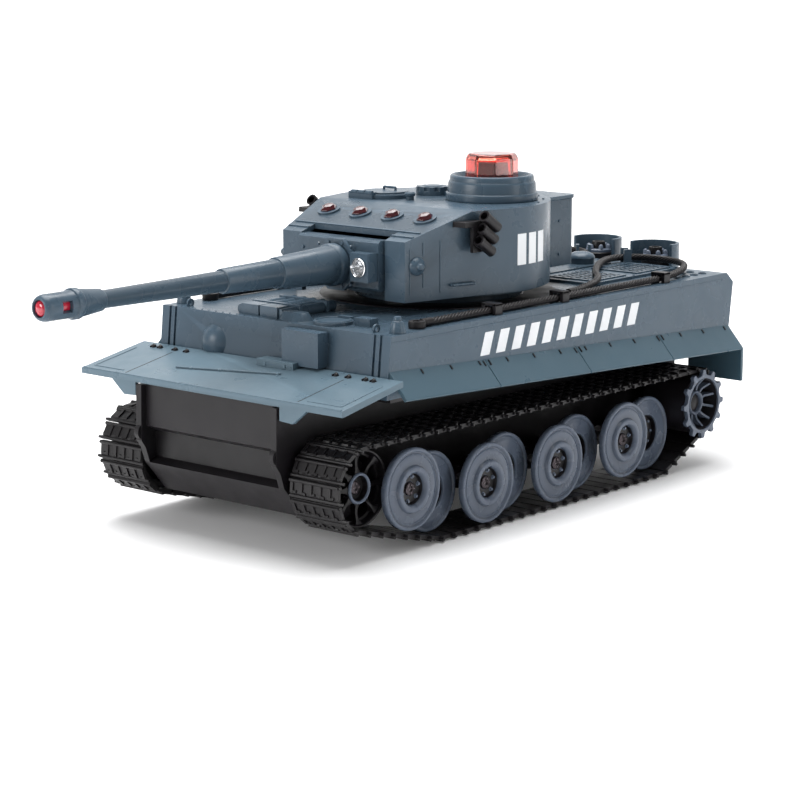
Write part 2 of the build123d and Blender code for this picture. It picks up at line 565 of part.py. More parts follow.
def belt_stations(grow, pitch):
    """Evenly spaced places along the band, as (y, z, outward angle)."""
    circles, runs = belt_path(grow)
    pieces = []
    for index, (start, end, normal) in enumerate(runs):
        pieces.append(("run", hypot(end[0] - start[0], end[1] - start[1]), start, end, normal))
        y, z, radius = circles[(index + 1) % len(circles)]
        sweep = (runs[(index + 1) % len(runs)][2] - normal) % (2 * pi)
        pieces.append(("arc", radius * sweep, (y, z), radius, normal))
    total = sum(piece[1] for piece in pieces)
    count = round(total / pitch)
    places = []
    for number in range(count):
        along = number * total / count
        for piece in pieces:
            if along <= piece[1]:
                break
            along -= piece[1]
        if piece[0] == "run":
            (y1, z1), (y2, z2) = piece[2], piece[3]
            part = along / piece[1]
            places.append((y1 + (y2 - y1) * part, z1 + (z2 - z1) * part, piece[4]))
        else:
            angle = piece[4] + along / piece[3]
            places.append((piece[2][0] + piece[3] * cos(angle), piece[2][1] + piece[3] * sin(angle), angle))
    return places


grouser_places = belt_stations(BELT_T + GROUSER_H / 2 - 0.1, LINK_PITCH)
pin_places = belt_stations(BELT_T / 2, LINK_PITCH)
for side_name, side in SIDES.items():
    with BuildPart() as track:
        with BuildSketch(Plane.YZ.offset(side * TRACK_IN_X)) as band:
            with BuildLine():
                belt_outline(BELT_T)
            make_face()
            for y, z, angle in grouser_places:
                with Locations(Location((y, z, 0), (0, 0, degrees(angle)))):
                    Rectangle(GROUSER_H + 0.2, 2.6)
            with BuildLine():
                belt_outline(0)
            make_face(mode=Mode.SUBTRACT)
        extrude(amount=side * (TRACK_OUT_X - TRACK_IN_X))
        # track pins stand out of the outer edge, except where the sprocket's ring turns
        with BuildSketch(Plane.YZ.offset(side * (TRACK_OUT_X - 0.3))):
            for y, z, angle in pin_places:
                if hypot(y - SPROCKET_Y, z - SPROCKET_Z) > TOOTH_R + 2.2:
                    with Locations((y, z)):
                        Circle(0.58)
        extrude(amount=side * (PIN_OUT_X - TRACK_OUT_X + 0.3))
    save(track.part, "track_" + side_name)

# ---------------------------------------------------------------- turret
def turret_side_bearing(inset):
    """Direction the turret's left side faces, measured from +X."""
    radius = TURRET_R - inset
    half = TURRET_FRONT_HALF - inset
    depth = TURRET_FRONT_Y + inset - TURRET_Y
    reach = hypot(half, depth)
    return atan2(depth, half) + atan2((reach ** 2 - radius ** 2) ** 0.5, radius)


def turret_outline(inset):
    """Flat front, sides tangent to the round rear."""
    radius = TURRET_R - inset
    half = TURRET_FRONT_HALF - inset
    front_y = TURRET_FRONT_Y + inset
    bearing = turret_side_bearing(inset)
    touch = (radius * cos(bearing), TURRET_Y + radius * sin(bearing))
    Line((-half, front_y), (half, front_y))
    Line((half, front_y), touch)
    ThreePointArc(touch, (0, TURRET_Y + radius), (-touch[0], touch[1]))
    Line((-touch[0], touch[1]), (-half, front_y))


def turret_block(inset, foot_z, drop):
    """The turret's solid, inset from its faces and with its roof lowered by drop."""
    front_z = TURRET_FRONT_Z - drop
    with BuildPart() as block:
        with BuildSketch(Plane.XY.offset(foot_z)):
            with BuildLine():
                turret_outline(inset)
            make_face()
        extrude(amount=ROOF_Z - drop - foot_z)
        slope_end = TURRET_FRONT_Y + (ROOF_Z - TURRET_FRONT_Z) / ROOF_SLOPE
        with BuildSketch(Plane.YZ.offset(-60)):
            with BuildLine():
                Polyline(
                    (TURRET_FRONT_Y - 10, front_z - 10 * ROOF_SLOPE),
                    (slope_end, ROOF_Z - drop),
                    (slope_end, ROOF_Z + 20),
                    (TURRET_FRONT_Y - 10, ROOF_Z + 20),
                    close=True,
                )
            make_face()
        extrude(amount=120, mode=Mode.SUBTRACT)
    return block.part


def roof_plane(x, y, lift=0.0):
    """A plane lying on the sloped part of the roof."""
    z = TURRET_FRONT_Z + (y - TURRET_FRONT_Y) * ROOF_SLOPE
    normal = Vector(0, -ROOF_SLOPE, 1).normalized()
    return Plane(origin=Vector(x, y, z) + normal * lift, x_dir=(1, 0, 0), z_dir=normal)


MANTLET_HALF = 16.6
turret_solid = turret_block(0, TURRET_FOOT_Z, 0)
turret_cavity = turret_block(WALL, TURRET_FOOT_Z - 1, 1.6)
turret_blank = turret_block(-0.02, TURRET_FOOT_Z - 2, -10)
HATCH_X, HATCH_Y, HATCH_R = -17.0, 21.0, 9.2
VENT_X, VENT_Y, VENT_R = -9.5, 36.5, 5.6
PORT_Y = -14.0
with BuildPart() as turret_shell:
    add(turret_solid)
    # loader's hatch, roof ventilator and the seat of the commander's cupola
    with BuildSketch(Plane(origin=(HATCH_X, HATCH_Y, ROOF_Z - 0.3))):
        Circle(HATCH_R)
    extrude(amount=1.5)
    with BuildSketch(Plane(origin=(HATCH_X, HATCH_Y, ROOF_Z + 1.1))):
        Circle(HATCH_R - 1.6)
    extrude(amount=0.9)
    slab(HATCH_X - 7.0, HATCH_X + 3.0, HATCH_Y - 9.8, HATCH_Y - 7.4, ROOF_Z - 0.2, ROOF_Z + 2.2)
    with BuildSketch(Plane(origin=(VENT_X, VENT_Y, ROOF_Z - 0.3))):
        Circle(VENT_R)
    extrude(amount=1.7)
    with BuildSketch(Plane(origin=(VENT_X, VENT_Y, ROOF_Z + 1.3))):
        Circle(VENT_R)
        with PolarLocations(VENT_R + 0.2, 10):
            Circle(1.0, mode=Mode.SUBTRACT)
    extrude(amount=1.5)
    # two raised lines across the sloped roof
    for line_y in (-14.9, -11.7):
        with BuildSketch(roof_plane(0, line_y)):
            Rectangle(51.5, 0.7)
        extrude(amount=0.35)
    # bezels of the four hit lights
    for lens_x in LENS_X:
        with BuildSketch(roof_plane(lens_x, LENS_Y, -0.4)):
            Circle(3.7)
        extrude(amount=1.0)
    # pistol-port bosses on the sides
    for side in (1, -1):
        bearing = turret_side_bearing(0)
        port_x = TURRET_FRONT_HALF - (PORT_Y - TURRET_FRONT_Y) * tan(bearing)
        port_normal = (side * cos(bearing), sin(bearing), 0)
        port_plane = Plane(origin=(side * port_x, PORT_Y, 79.3), x_dir=(0, 0, 1), z_dir=port_normal)
        with BuildSketch(port_plane.offset(-0.5)):
            Circle(2.5)
        extrude(amount=1.3)
        with BuildSketch(port_plane.offset(0.5)):
            Circle(1.7)
        extrude(amount=1.1)
    add(turret_cavity, mode=Mode.SUBTRACT)
    for lens_x in LENS_X:
        with BuildSketch(roof_plane(lens_x, LENS_Y, -3)):
            Circle(2.3)
        extrude(amount=5, mode=Mode.SUBTRACT)
    # gun opening, cut through the front edge of the roof
    slab(-MANTLET_HALF - 0.6, MANTLET_HALF + 0.6, -25, -12.2, 60, 97, mode=Mode.SUBTRACT)
    # trunnion bearings
    for side in (1, -1):
        slab(*sorted((side * 17.6, side * 21.0)), -17.0, -7.0, 72.0, 85.0)
    rod(-25, 25, TRUNNION_Y, GUN_Z, BORE_R, mode=Mode.SUBTRACT)
    # opening under the cupola for the receiver's wires
    with BuildSketch(Plane(origin=(CUPOLA_X, CUPOLA_Y, ROOF_Z - 4))):
        Circle(4.0)
    extrude(amount=6, mode=Mode.SUBTRACT)
save(turret_shell.part, "turret_shell")

# turret floor with neck and ring gear
RING_GEAR_R = 30.2
with BuildPart() as turret_base:
    with BuildSketch(Plane(origin=(0, TURRET_Y, DECK_Z - 4.6))):
        Circle(RING_R)
        Circle(RING_R - 2.4, mode=Mode.SUBTRACT)
    extrude(amount=TURRET_FOOT_Z - DECK_Z + 4.0)
    with BuildSketch(Plane(origin=(0, TURRET_Y, TURRET_FOOT_Z - 1.0))):
        Circle(33.0)
        Circle(RING_R - 2.4, mode=Mode.SUBTRACT)
    extrude(amount=1.0)
    with BuildSketch(Plane(origin=(0, TURRET_Y, DECK_Z - 8.4))):
        Circle(RING_GEAR_R - 1.4)
        with PolarLocations(RING_GEAR_R - 1.0, 60):
            Rectangle(2.0, 1.4)
        Circle(RING_R - 2.4, mode=Mode.SUBTRACT)
    extrude(amount=3.2)
    with BuildSketch(Plane(origin=(0, TURRET_Y, DECK_Z - 5.4))):
        Circle(RING_R)
        Circle(RING_R - 2.4, mode=Mode.SUBTRACT)
    extrude(amount=1.2)
save(turret_base.part, "turret_base")

TURN_PINION_R = 5.2
TURN_PINION_Y = TURRET_Y - RING_GEAR_R - TURN_PINION_R - 0.3
with BuildPart() as turret_pinion:
    with BuildSketch(Plane(origin=(0, TURN_PINION_Y, DECK_Z - 8.4))):
        Circle(TURN_PINION_R - 1.2)
        with PolarLocations(TURN_PINION_R - 0.9, 10):
            Rectangle(1.8, 1.3)
    extrude(amount=3.2)
    with BuildSketch(Plane(origin=(0, TURN_PINION_Y, DECK_Z - 12.0))):
        Circle(0.8)
    extrude(amount=4.0)
save(turret_pinion.part, "turret_pinion")

with BuildPart() as turret_motor:
    with BuildSketch(Plane(origin=(0, TURN_PINION_Y, 37.0))):
        Circle(6.4)
    extrude(amount=14.8)
    with BuildSketch(Plane(origin=(0, TURN_PINION_Y, 46.0))):
        Circle(0.95)
    extrude(amount=8, mode=Mode.SUBTRACT)
save(turret_motor.part, "turret_motor")

# commander's cupola, which is the dished seat of the beacon
cupola_plane = Plane(origin=(CUPOLA_X, CUPOLA_Y, ROOF_Z), x_dir=(1, 0, 0), z_dir=(0, -1, 0))
with BuildPart() as cupola:
    with BuildSketch(cupola_plane):
        with BuildLine():
            Polyline(
                (4.2, 0.02), (14.6, 0.02), (14.9, 0.5), (14.9, 2.0), (14.3, 2.6), (14.1, 5.6), (13.7, 6.2), (13.5, 7.6),
                (13.0, 8.1), (12.2, 8.1), (11.6, 7.4), (10.2, 5.2), (4.2, 5.2), close=True,
            )
        make_face()
    revolve(axis=Axis((CUPOLA_X, CUPOLA_Y, 0), (0, 0, 1)))
save(cupola.part, "cupola")

BEACON_FOOT_Z = ROOF_Z + 5.2
with BuildPart() as beacon_dome:
    with BuildSketch(Plane(origin=(CUPOLA_X, CUPOLA_Y, BEACON_FOOT_Z))):
        RegularPolygon(8.7, 8, major_radius=True)
    extrude(amount=9.6)
    chamfer(beacon_dome.faces().sort_by(Axis.Z)[-1].edges(), length=0.9)
    with BuildSketch(Plane(origin=(CUPOLA_X, CUPOLA_Y, BEACON_FOOT_Z - 1))):
        RegularPolygon(7.3, 8, major_radius=True)
    extrude(amount=9.2, mode=Mode.SUBTRACT)
save(beacon_dome.part, "beacon_dome")

with BuildPart() as signal_receiver:
    with BuildSketch(Plane(origin=(CUPOLA_X, CUPOLA_Y, BEACON_FOOT_Z - 5.0))):
        Circle(3.0)
    extrude(amount=5.6)
    with BuildSketch(Plane(origin=(CUPOLA_X, CUPOLA_Y, BEACON_FOOT_Z))):
        RectangleRounded(8.4, 6.4, 0.8)
    extrude(amount=6.6)
save(signal_receiver.part, "signal_receiver")

with BuildPart() as hit_lenses:
    for lens_x in LENS_X:
        with BuildSketch(roof_plane(lens_x, LENS_Y, -2.2)):
            Circle(2.24)
        extrude(amount=3.0)
        with BuildSketch(roof_plane(lens_x, LENS_Y, 0.7)) as foot:
            RegularPolygon(2.75, 6)
        with BuildSketch(roof_plane(lens_x, LENS_Y, 2.1)) as crown:
            RegularPolygon(1.3, 6)
        loft(sections=[foot.sketch.face(), crown.sketch.face()])
save(hit_lenses.part, "hit_lenses")

# stowage bin that hugs the turret's rear
with BuildPart() as stowage_bin:
    with BuildSketch(Plane.XY.offset(70.6)):
        with Locations((0, 65.6)):
            RectangleRounded(40.0, 19.0, 3.0)
        with Locations((0, TURRET_Y)):
            Circle(TURRET_R + 0.02, mode=Mode.SUBTRACT)
    extrude(amount=22.0)
    with BuildSketch(Plane.XY.offset(92.6)):
        with Locations((0, 65.6)):
            RectangleRounded(41.0, 20.0, 3.4)
        with Locations((0, TURRET_Y)):
            Circle(TURRET_R + 0.02, mode=Mode.SUBTRACT)
    extrude(amount=1.2)
save(stowage_bin.part, "stowage_bin")

# smoke dischargers: a bracket and three short tubes on each side, one above the other
TUBE_AIM = Vector(0, -0.84, 0.54).normalized()
TUBE_X, TUBE_Y, TUBE_Z = 36.0, 9.7, 91.5      # middle of the top tube
TUBE_STEP_Y, TUBE_STEP_Z = 1.35, 3.6          # from one tube to the next one below
TUBE_R, TUBE_BORE_R, TUBE_LIP_R = 1.7, 1.25, 1.85
TUBE_HALF = 3.9
with BuildPart() as smoke_dischargers:
    for side in (1, -1):
        slab(*sorted((side * 28.0, side * 34.6)), -1.0, 8.0, 90.4, 92.0)
        slab(*sorted((side * 33.4, side * 34.6)), 3.0, 11.4, 82.4, 92.0)
        for step in range(3):
            middle = Vector(side * TUBE_X, TUBE_Y - step * TUBE_STEP_Y, TUBE_Z - step * TUBE_STEP_Z)
            tube_plane = Plane(origin=middle, x_dir=(0, TUBE_AIM.Z, -TUBE_AIM.Y), z_dir=TUBE_AIM)
            with BuildSketch(tube_plane.offset(-TUBE_HALF)):
                Circle(TUBE_R)
            extrude(amount=2 * TUBE_HALF)
            with BuildSketch(tube_plane.offset(TUBE_HALF - 1.4)):
                Circle(TUBE_LIP_R)
            extrude(amount=1.4)
            with BuildSketch(tube_plane.offset(-TUBE_HALF + 3.0)):
                Circle(TUBE_BORE_R)
            extrude(amount=2 * TUBE_HALF, mode=Mode.SUBTRACT)
    add(turret_blank, mode=Mode.SUBTRACT)
save(smoke_dischargers.part, "smoke_dischargers")

# ---------------------------------------------------------------- gun
with BuildPart() as mantlet:
    side_profile([
        (-20.5, 72.0), (-20.5, 86.0), (-19.6, 86.7), (-15.6, 86.7), (-8.0, 82.0),
        (-6.5, 78.5), (-8.0, 74.0), (-12.0, 71.0), (-19.6, 71.2),
    ], -MANTLET_HALF, MANTLET_HALF)
    with BuildSketch(Plane.XZ.offset(20.4)):
        with Locations(Location((0, GUN_Z, 0), (0, 0, 22.5))):
            RegularPolygon(8.6, 8, major_radius=True)
    extrude(amount=1.3)
    with BuildSketch(Plane.XZ.offset(21.6)):
        with Locations(Location((0, GUN_Z, 0), (0, 0, 22.5))):
            with PolarLocations(7.2, 8):
                Circle(0.6)
    extrude(amount=0.5)
    # lamp box beside the barrel
    slab(9.0, 16.2, -25.0, -20.4, 74.4, 83.2)
    with BuildSketch(Plane.XZ.offset(25.1)):
        with Locations((12.6, 78.8)):
            Circle(2.8)
    extrude(amount=-2.4, mode=Mode.SUBTRACT)
    # socket of the barrel and the trunnion pins
    with BuildSketch(Plane.XZ.offset(22.2)):
        with Locations((0, GUN_Z)):
            Circle(5.0)
    extrude(amount=-8.0, mode=Mode.SUBTRACT)
    rod(-19.8, -MANTLET_HALF + 1, TRUNNION_Y, GUN_Z, AXLE_R)
    rod(MANTLET_HALF - 1, 19.8, TRUNNION_Y, GUN_Z, AXLE_R)
save(mantlet.part, "mantlet")

with BuildPart() as front_lamp:
    with BuildSketch(Plane(origin=(12.6, -22.7, 78.8), x_dir=(1, 0, 0), z_dir=(0, -1, 0))):
        Circle(2.75)
    extrude(amount=2.3)
    with BuildSketch(Plane(origin=(12.6, -25.0, 78.8), x_dir=(1, 0, 0), z_dir=(0, -1, 0))):
        Circle(3.0)
    extrude(amount=0.9)
save(front_lamp.part, "front_lamp")

gun_plane = Plane(origin=(0, 0, GUN_Z), x_dir=(0, -1, 0), z_dir=(1, 0, 0))
with BuildPart() as gun_barrel:
    with BuildSketch(gun_plane):
        with BuildLine():
            Polyline(
                (14.3, 1.2), (14.3, 4.98), (22.15, 4.98), (22.15, 6.6), (24.6, 6.6), (25.4, 6.0),
                (48.4, 4.75), (48.9, 4.3), (71.0, 3.75), (71.6, 3.15), (118.4, 2.55), (119.2, 3.2),
                (127.4, 4.1), (127.8, 4.45), (129.4, 4.45), (129.8, 4.0), (131.2, 3.85), (138.9, 3.85),
                (140.2, 3.5), (140.9, 2.9), (140.9, 2.5), (129.0, 2.5), (129.0, 1.2), close=True,
            )
        make_face()
    revolve(axis=Axis((0, 0, GUN_Z), (0, 1, 0)))
    # side windows of the muzzle brake
    slab(-6, 6, -135.4, -131.8, GUN_Z - 1.7, GUN_Z + 1.7, mode=Mode.SUBTRACT)
save(gun_barrel.part, "gun_barrel")

with BuildPart() as muzzle_lens:
    with BuildSketch(Plane.XZ.offset(129.6)):
        with Locations((0, GUN_Z)):
            Circle(2.45)
    extrude(amount=10.6)
    with Locations((0, MUZZLE_Y + 1.0, GUN_Z)):
        Sphere(2.3)
    slab(-3, 3, MUZZLE_Y - 5, MUZZLE_Y, GUN_Z - 4, GUN_Z + 4, mode=Mode.SUBTRACT)
save(muzzle_lens.part, "muzzle_lens")

# ---------------------------------------------------------------- deck fittings
with BuildPart() as headlamps:
    for side in (1, -1):
        x, y = side * 44.2, PLATE_Y + 6.4
        with BuildSketch(Plane(origin=(x, y, DECK_Z))):
            Circle(2.5)
        with BuildSketch(Plane(origin=(x, y, DECK_Z + 3.6))):
            Circle(1.7)
        loft()
        with BuildSketch(Plane(origin=(x, y, DECK_Z + 3.6))):
            Circle(1.2)
        extrude(amount=1.4)
save(headlamps.part, "headlamps")

with BuildPart() as exhaust_shrouds:
    for side in (1, -1):
        x = side * EXHAUST_X
        with BuildSketch(Plane.XY.offset(44.0)):
            with Locations((x, EXHAUST_Y)):
                Circle(EXHAUST_R)
                Circle(EXHAUST_R - 1.1, mode=Mode.SUBTRACT)
            with Locations((x, REAR_Y - 5.7)):
                Rectangle(2.2 * EXHAUST_R, 12.0, mode=Mode.SUBTRACT)
        extrude(amount=27.6)
save(exhaust_shrouds.part, "exhaust_shrouds")

with BuildPart() as exhaust_mufflers:
    for side in (1, -1):
        x = side * EXHAUST_X
        with BuildSketch(Plane.XY.offset(46.0)):
            with Locations((x, EXHAUST_Y + 1.2)):
                Circle(4.9)
        extrude(amount=20.4)
        with BuildSketch(Plane.XY.offset(66.4)):
            with Locations((x, EXHAUST_Y + 1.2)):
                Circle(3.2)
                Circle(2.2, mode=Mode.SUBTRACT)
        extrude(amount=3.6)
        # bracket that carries muffler and shroud on the hull's rear wall
        slab(x - 7.0, x + 7.0, REAR_Y - 0.9, REAR_Y + 1.2, 52.0, 58.0)
    side_profile(upper_outline, -UPPER_HALF, UPPER_HALF, mode=Mode.SUBTRACT)
    add(exhaust_shrouds.part, mode=Mode.SUBTRACT)
save(exhaust_mufflers.part, "exhaust_mufflers")

# tow cables: along the deck's edge, round the rear deck and back
LOOP_Z = CABLE_Z + 1.4        # the rear loop lies on the engine deck's grilles
CABLE_ROUTE = [
    (CABLE_X, -31.0, CABLE_Z), (CABLE_X, 98.0, CABLE_Z), (39.6, 111.0, LOOP_Z), (31.0, 121.2, LOOP_Z),
    (20.5, 124.2, LOOP_Z), (12.0, 123.2, LOOP_Z), (6.4, 116.0, LOOP_Z), (9.8, 103.5, LOOP_Z),
    (23.0, 82.0, LOOP_Z), (31.5, 73.0, LOOP_Z - 0.15), (36.8, 61.0, CABLE_Z + 0.5), (39.0, 46.0, CABLE_Z),
]
with BuildPart() as tow_cables:
    for side in (1, -1):
        with BuildLine() as route:
            FilletPolyline(*[(side * x, y, z) for x, y, z in CABLE_ROUTE], radius=CABLE_BEND)
        with BuildSketch(Plane(origin=(side * CABLE_X, -31.0, CABLE_Z), x_dir=(1, 0, 0), z_dir=(0, 1, 0))) as section:
            Circle(CABLE_R)
        sweep(sections=section.sketch.face(), path=route.wire())
        with BuildSketch(Plane(origin=(side * CABLE_X, -33.4, DECK_Z + 0.05))):
            Circle(2.6)
            Circle(1.2, mode=Mode.SUBTRACT)
        extrude(amount=2.2)
save(tow_cables.part, "tow_cables")

# ---------------------------------------------------------------- inside the hull
with BuildPart() as battery_pack:
    for cell in range(4):
        with BuildSketch(Plane.XZ.offset(28.0)):
            with Locations((-15.6 + cell * 10.4, 20.0)):
                Circle(5.15)
        extrude(amount=-58.0)
    slab(-20.0, 20.0, -28.0, 30.0, 14.2, 18.0)
save(battery_pack.part, "battery_pack")

with BuildPart() as circuit_board:
    slab(-26.0, 26.0, -30.0, 36.0, 34.0, 35.6)
    for chip_x, chip_y, chip_h in ((-15.0, -18.0, 1.6), (14.0, 8.0, 2.0), (-12.0, 20.0, 3.0), (14.0, 24.0, 5.0)):
        slab(chip_x - 5, chip_x + 5, chip_y - 4, chip_y + 4, 35.5, 35.6 + chip_h)
    for post_x in (-23.8, 23.8):
        for post_y in (-27.0, 33.0):
            with BuildSketch(Plane(origin=(post_x, post_y, 13.5))):
                Circle(2.0)
            extrude(amount=20.6)
save(circuit_board.part, "circuit_board")

with BuildPart() as speaker:
    with BuildSketch(Plane(origin=(0, 52.0, 13.6))):
        Circle(13.0)
    extrude(amount=3.0)
    with BuildSketch(Plane(origin=(0, 52.0, 16.6))):
        Circle(6.0)
    extrude(amount=4.0)
save(speaker.part, "speaker")
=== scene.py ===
import json
import math

import bmesh
import bpy
from mathutils import Matrix, Vector


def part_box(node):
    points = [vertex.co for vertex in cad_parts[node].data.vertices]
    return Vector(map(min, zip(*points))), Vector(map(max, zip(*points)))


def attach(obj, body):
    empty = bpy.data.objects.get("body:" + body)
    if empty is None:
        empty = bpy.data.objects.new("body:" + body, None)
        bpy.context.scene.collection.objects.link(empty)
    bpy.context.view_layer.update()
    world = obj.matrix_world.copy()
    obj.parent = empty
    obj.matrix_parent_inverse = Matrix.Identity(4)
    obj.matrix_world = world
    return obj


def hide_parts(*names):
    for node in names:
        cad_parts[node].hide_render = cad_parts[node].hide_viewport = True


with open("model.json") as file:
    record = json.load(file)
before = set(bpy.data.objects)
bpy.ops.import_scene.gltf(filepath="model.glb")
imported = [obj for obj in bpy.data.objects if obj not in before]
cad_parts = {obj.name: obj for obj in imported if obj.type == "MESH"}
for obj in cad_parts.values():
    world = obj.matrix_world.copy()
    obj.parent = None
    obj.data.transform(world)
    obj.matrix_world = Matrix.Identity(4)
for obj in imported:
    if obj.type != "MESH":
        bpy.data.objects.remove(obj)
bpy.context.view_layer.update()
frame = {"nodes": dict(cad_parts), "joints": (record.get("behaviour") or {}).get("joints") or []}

MM = 0.001
SIDES = {"left": 1, "right": -1}
JOINTS = {joint["name"]: joint for joint in frame["joints"]}


def corners(node):
    """Lowest and highest corner of a CAD node, in millimetres."""
    low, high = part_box(node)
    return low / MM, high / MM


def pivot(joint):
    """Where a joint turns or slides, in millimetres."""
    return Vector(JOINTS[joint]["pos_m"]) / MM


UP, AHEAD = (0, 0, 1), (0, -1, 0)
DECK_Z = corners("engine_deck")[0].z
TURRET_Y = pivot("turret_yaw").y
TURRET_R = 36.0
ROOF_SLOPE = 0.32


# ---------------------------------------------------------------- materials
def new_material(name):
    material = bpy.data.materials.new(name)
    material.use_nodes = True
    tree = material.node_tree
    return material, tree, tree.nodes["Principled BSDF"]


def add_noise(tree, scale, detail=3.0, stretch=None):
    """Noise in object space; scale is in cells per metre."""
    place = tree.nodes.new("ShaderNodeTexCoord")
    noise = tree.nodes.new("ShaderNodeTexNoise")
    noise.inputs["Scale"].default_value = scale
    noise.inputs["Detail"].default_value = detail
    if stretch:
        mapping = tree.nodes.new("ShaderNodeMapping")
        mapping.inputs["Scale"].default_value = stretch
        tree.links.new(place.outputs["Object"], mapping.inputs["Vector"])
        tree.links.new(mapping.outputs["Vector"], noise.inputs["Vector"])
    else:
        tree.links.new(place.outputs["Object"], noise.inputs["Vector"])
    return noise.outputs["Fac"]


def add_range(tree, value, from_low, from_high, to_low, to_high):
    node = tree.nodes.new("ShaderNodeMapRange")
    limits = {"From Min": from_low, "From Max": from_high, "To Min": to_low, "To Max": to_high}
    for socket, number in limits.items():
        node.inputs[socket].default_value = number
    tree.links.new(value, node.inputs["Value"])
    return node.outputs["Result"]


def add_mix(tree, factor, first, second):
    """Mix of two colours; each is a socket or a plain colour."""
    node = tree.nodes.new("ShaderNodeMix")
    node.data_type = "RGBA"
    tree.links.new(factor, node.inputs["Factor"])
    for name, colour in (("A", first), ("B", second)):
        socket = [s for s in node.inputs if s.name == name and s.type == "RGBA"][0]
        if isinstance(colour, tuple):
            socket.default_value = (*colour, 1.0)
        else:
            tree.links.new(colour, socket)
    return [s for s in node.outputs if s.type == "RGBA"][0]


def shade(colour, factor):
    return tuple(min(1.0, part * factor) for part in colour)


def add_bump(tree, shader, height, strength, distance):
    bump = tree.nodes.new("ShaderNodeBump")
    bump.inputs["Strength"].default_value = strength
    bump.inputs["Distance"].default_value = distance
    tree.links.new(height, bump.inputs["Height"])
    tree.links.new(bump.outputs["Normal"], shader.inputs["Normal"])


def moulded(name, colour, rough, spread=0.10, grain=0.25, edge_wear_and_highlight=1.5, dust=None, metallic=0.0, stretch=None):
    """Moulded or machined surface: cloudy tint, painted shade in hollows, rubbed edges with a painted
    highlight, fine grain.
    """
    material, tree, shader = new_material(name)
    clouds = add_noise(tree, 38, 4.0, stretch)
    cloudy = add_range(tree, clouds, 0.3, 0.7, 0.0, 1.0)
    tint = add_mix(tree, cloudy, shade(colour, 1 - spread), shade(colour, 1 + spread))
    if dust:
        specks = add_range(tree, add_noise(tree, 210, 6.0), 0.52, 0.70, 0.0, 0.55)
        tint = add_mix(tree, specks, tint, dust)
    edge = tree.nodes.new("ShaderNodeNewGeometry").outputs["Pointiness"]
    # painted shade: hollows (low pointiness) are darkened towards 0.35 of the colour
    tint = add_mix(tree, add_range(tree, edge, 0.43, 0.495, 0.55, 0.0), tint, shade(colour, 0.35))
    # rubbed edges and a painted highlight: convex edges (high pointiness) are lightened by the edge factor
    tint = add_mix(tree, add_range(tree, edge, 0.515, 0.60, 0.0, 0.5), tint, shade(colour, edge_wear_and_highlight))
    tree.links.new(tint, shader.inputs["Base Color"])
    patches = add_noise(tree, 120, 5.0)
    tree.links.new(add_range(tree, patches, 0.3, 0.7, rough - 0.07, rough + 0.09), shader.inputs["Roughness"])
    shader.inputs["Metallic"].default_value = metallic
    shader.inputs["Specular IOR Level"].default_value = 0.5 if metallic else 0.30
    add_bump(tree, shader, add_noise(tree, 2600, 2.0), grain, 0.00005)
    return material


def tinted_lens(name, colour, rough, clear):
    """Clear tinted plastic, a little hazy inside."""
    material, tree, shader = new_material(name)
    haze = add_range(tree, add_noise(tree, 160, 3.0), 0.3, 0.7, 0.0, 1.0)
    tree.links.new(add_mix(tree, haze, shade(colour, 0.8), shade(colour, 1.15)), shader.inputs["Base Color"])
    patches = add_noise(tree, 300, 2.0)
    tree.links.new(add_range(tree, patches, 0.3, 0.7, rough * 0.7, rough * 1.5), shader.inputs["Roughness"])
    shader.inputs["Transmission Weight"].default_value = clear
    shader.inputs["IOR"].default_value = 1.49
    shader.inputs["Coat Weight"].default_value = 0.5
    shader.inputs["Coat Roughness"].default_value = 0.05
    add_bump(tree, shader, add_noise(tree, 500, 1.0), 0.08, 0.00005)
    return material


BLUE_GREY = (0.048, 0.077, 0.106)
PAINT = moulded("hull blue-grey", BLUE_GREY, 0.28, spread=0.05)
FENDER = moulded("fender blue-grey", (0.085, 0.130, 0.163), 0.32, spread=0.05)
SKIRT = moulded("skirt blue-grey", (0.045, 0.084, 0.112), 0.34, spread=0.05)
WHEEL = moulded("wheel grey", (0.085, 0.105, 0.142), 0.25, spread=0.03)
DARK = moulded("hull brown", (0.0062, 0.0052, 0.0066), 0.40, spread=0.15, edge_wear_and_highlight=2.2)
TRIM = moulded("trim black-brown", (0.0052, 0.0045, 0.0056), 0.36, spread=0.2, edge_wear_and_highlight=2.6)
RUBBER = moulded("track rubber", (0.0055, 0.0049, 0.0055), 0.42, spread=0.25, grain=0.5, edge_wear_and_highlight=2.6,
                 dust=(0.010, 0.009, 0.0095))
ROPE = moulded("cable brown", (0.0060, 0.0048, 0.0055), 0.45, spread=0.2, edge_wear_and_highlight=2.2)
# black parts; also painted shade on the floors of the air holes and air slots
BLACK = moulded("black parts and painted hole shade", (0.006, 0.006, 0.007), 0.55, spread=0.2)
STEEL = moulded("zinc steel", (0.50, 0.50, 0.51), 0.32, spread=0.08, metallic=1.0, stretch=(1, 1, 12))
SCREW = moulded("browned steel", (0.060, 0.050, 0.055), 0.30, spread=0.2, metallic=0.8, edge_wear_and_highlight=2.5)
BRASS = moulded("brass", (0.60, 0.42, 0.16), 0.28, spread=0.08, metallic=1.0)
NYLON = moulded("gear nylon", (0.66, 0.65, 0.60), 0.38, spread=0.05)
BOARD = moulded("circuit board", (0.012, 0.090, 0.035), 0.30, spread=0.12)
SLEEVE = moulded("battery sleeve", (0.015, 0.035, 0.170), 0.22, spread=0.06)
WHITE = moulded("printed white", (0.78, 0.80, 0.82), 0.42, spread=0.03, edge_wear_and_highlight=1.05)
BRIGHT = moulded("bright plating", (0.82, 0.83, 0.85), 0.12, spread=0.03, metallic=1.0)
RED = tinted_lens("red lens", (0.070, 0.003, 0.008), 0.04, 0.30)
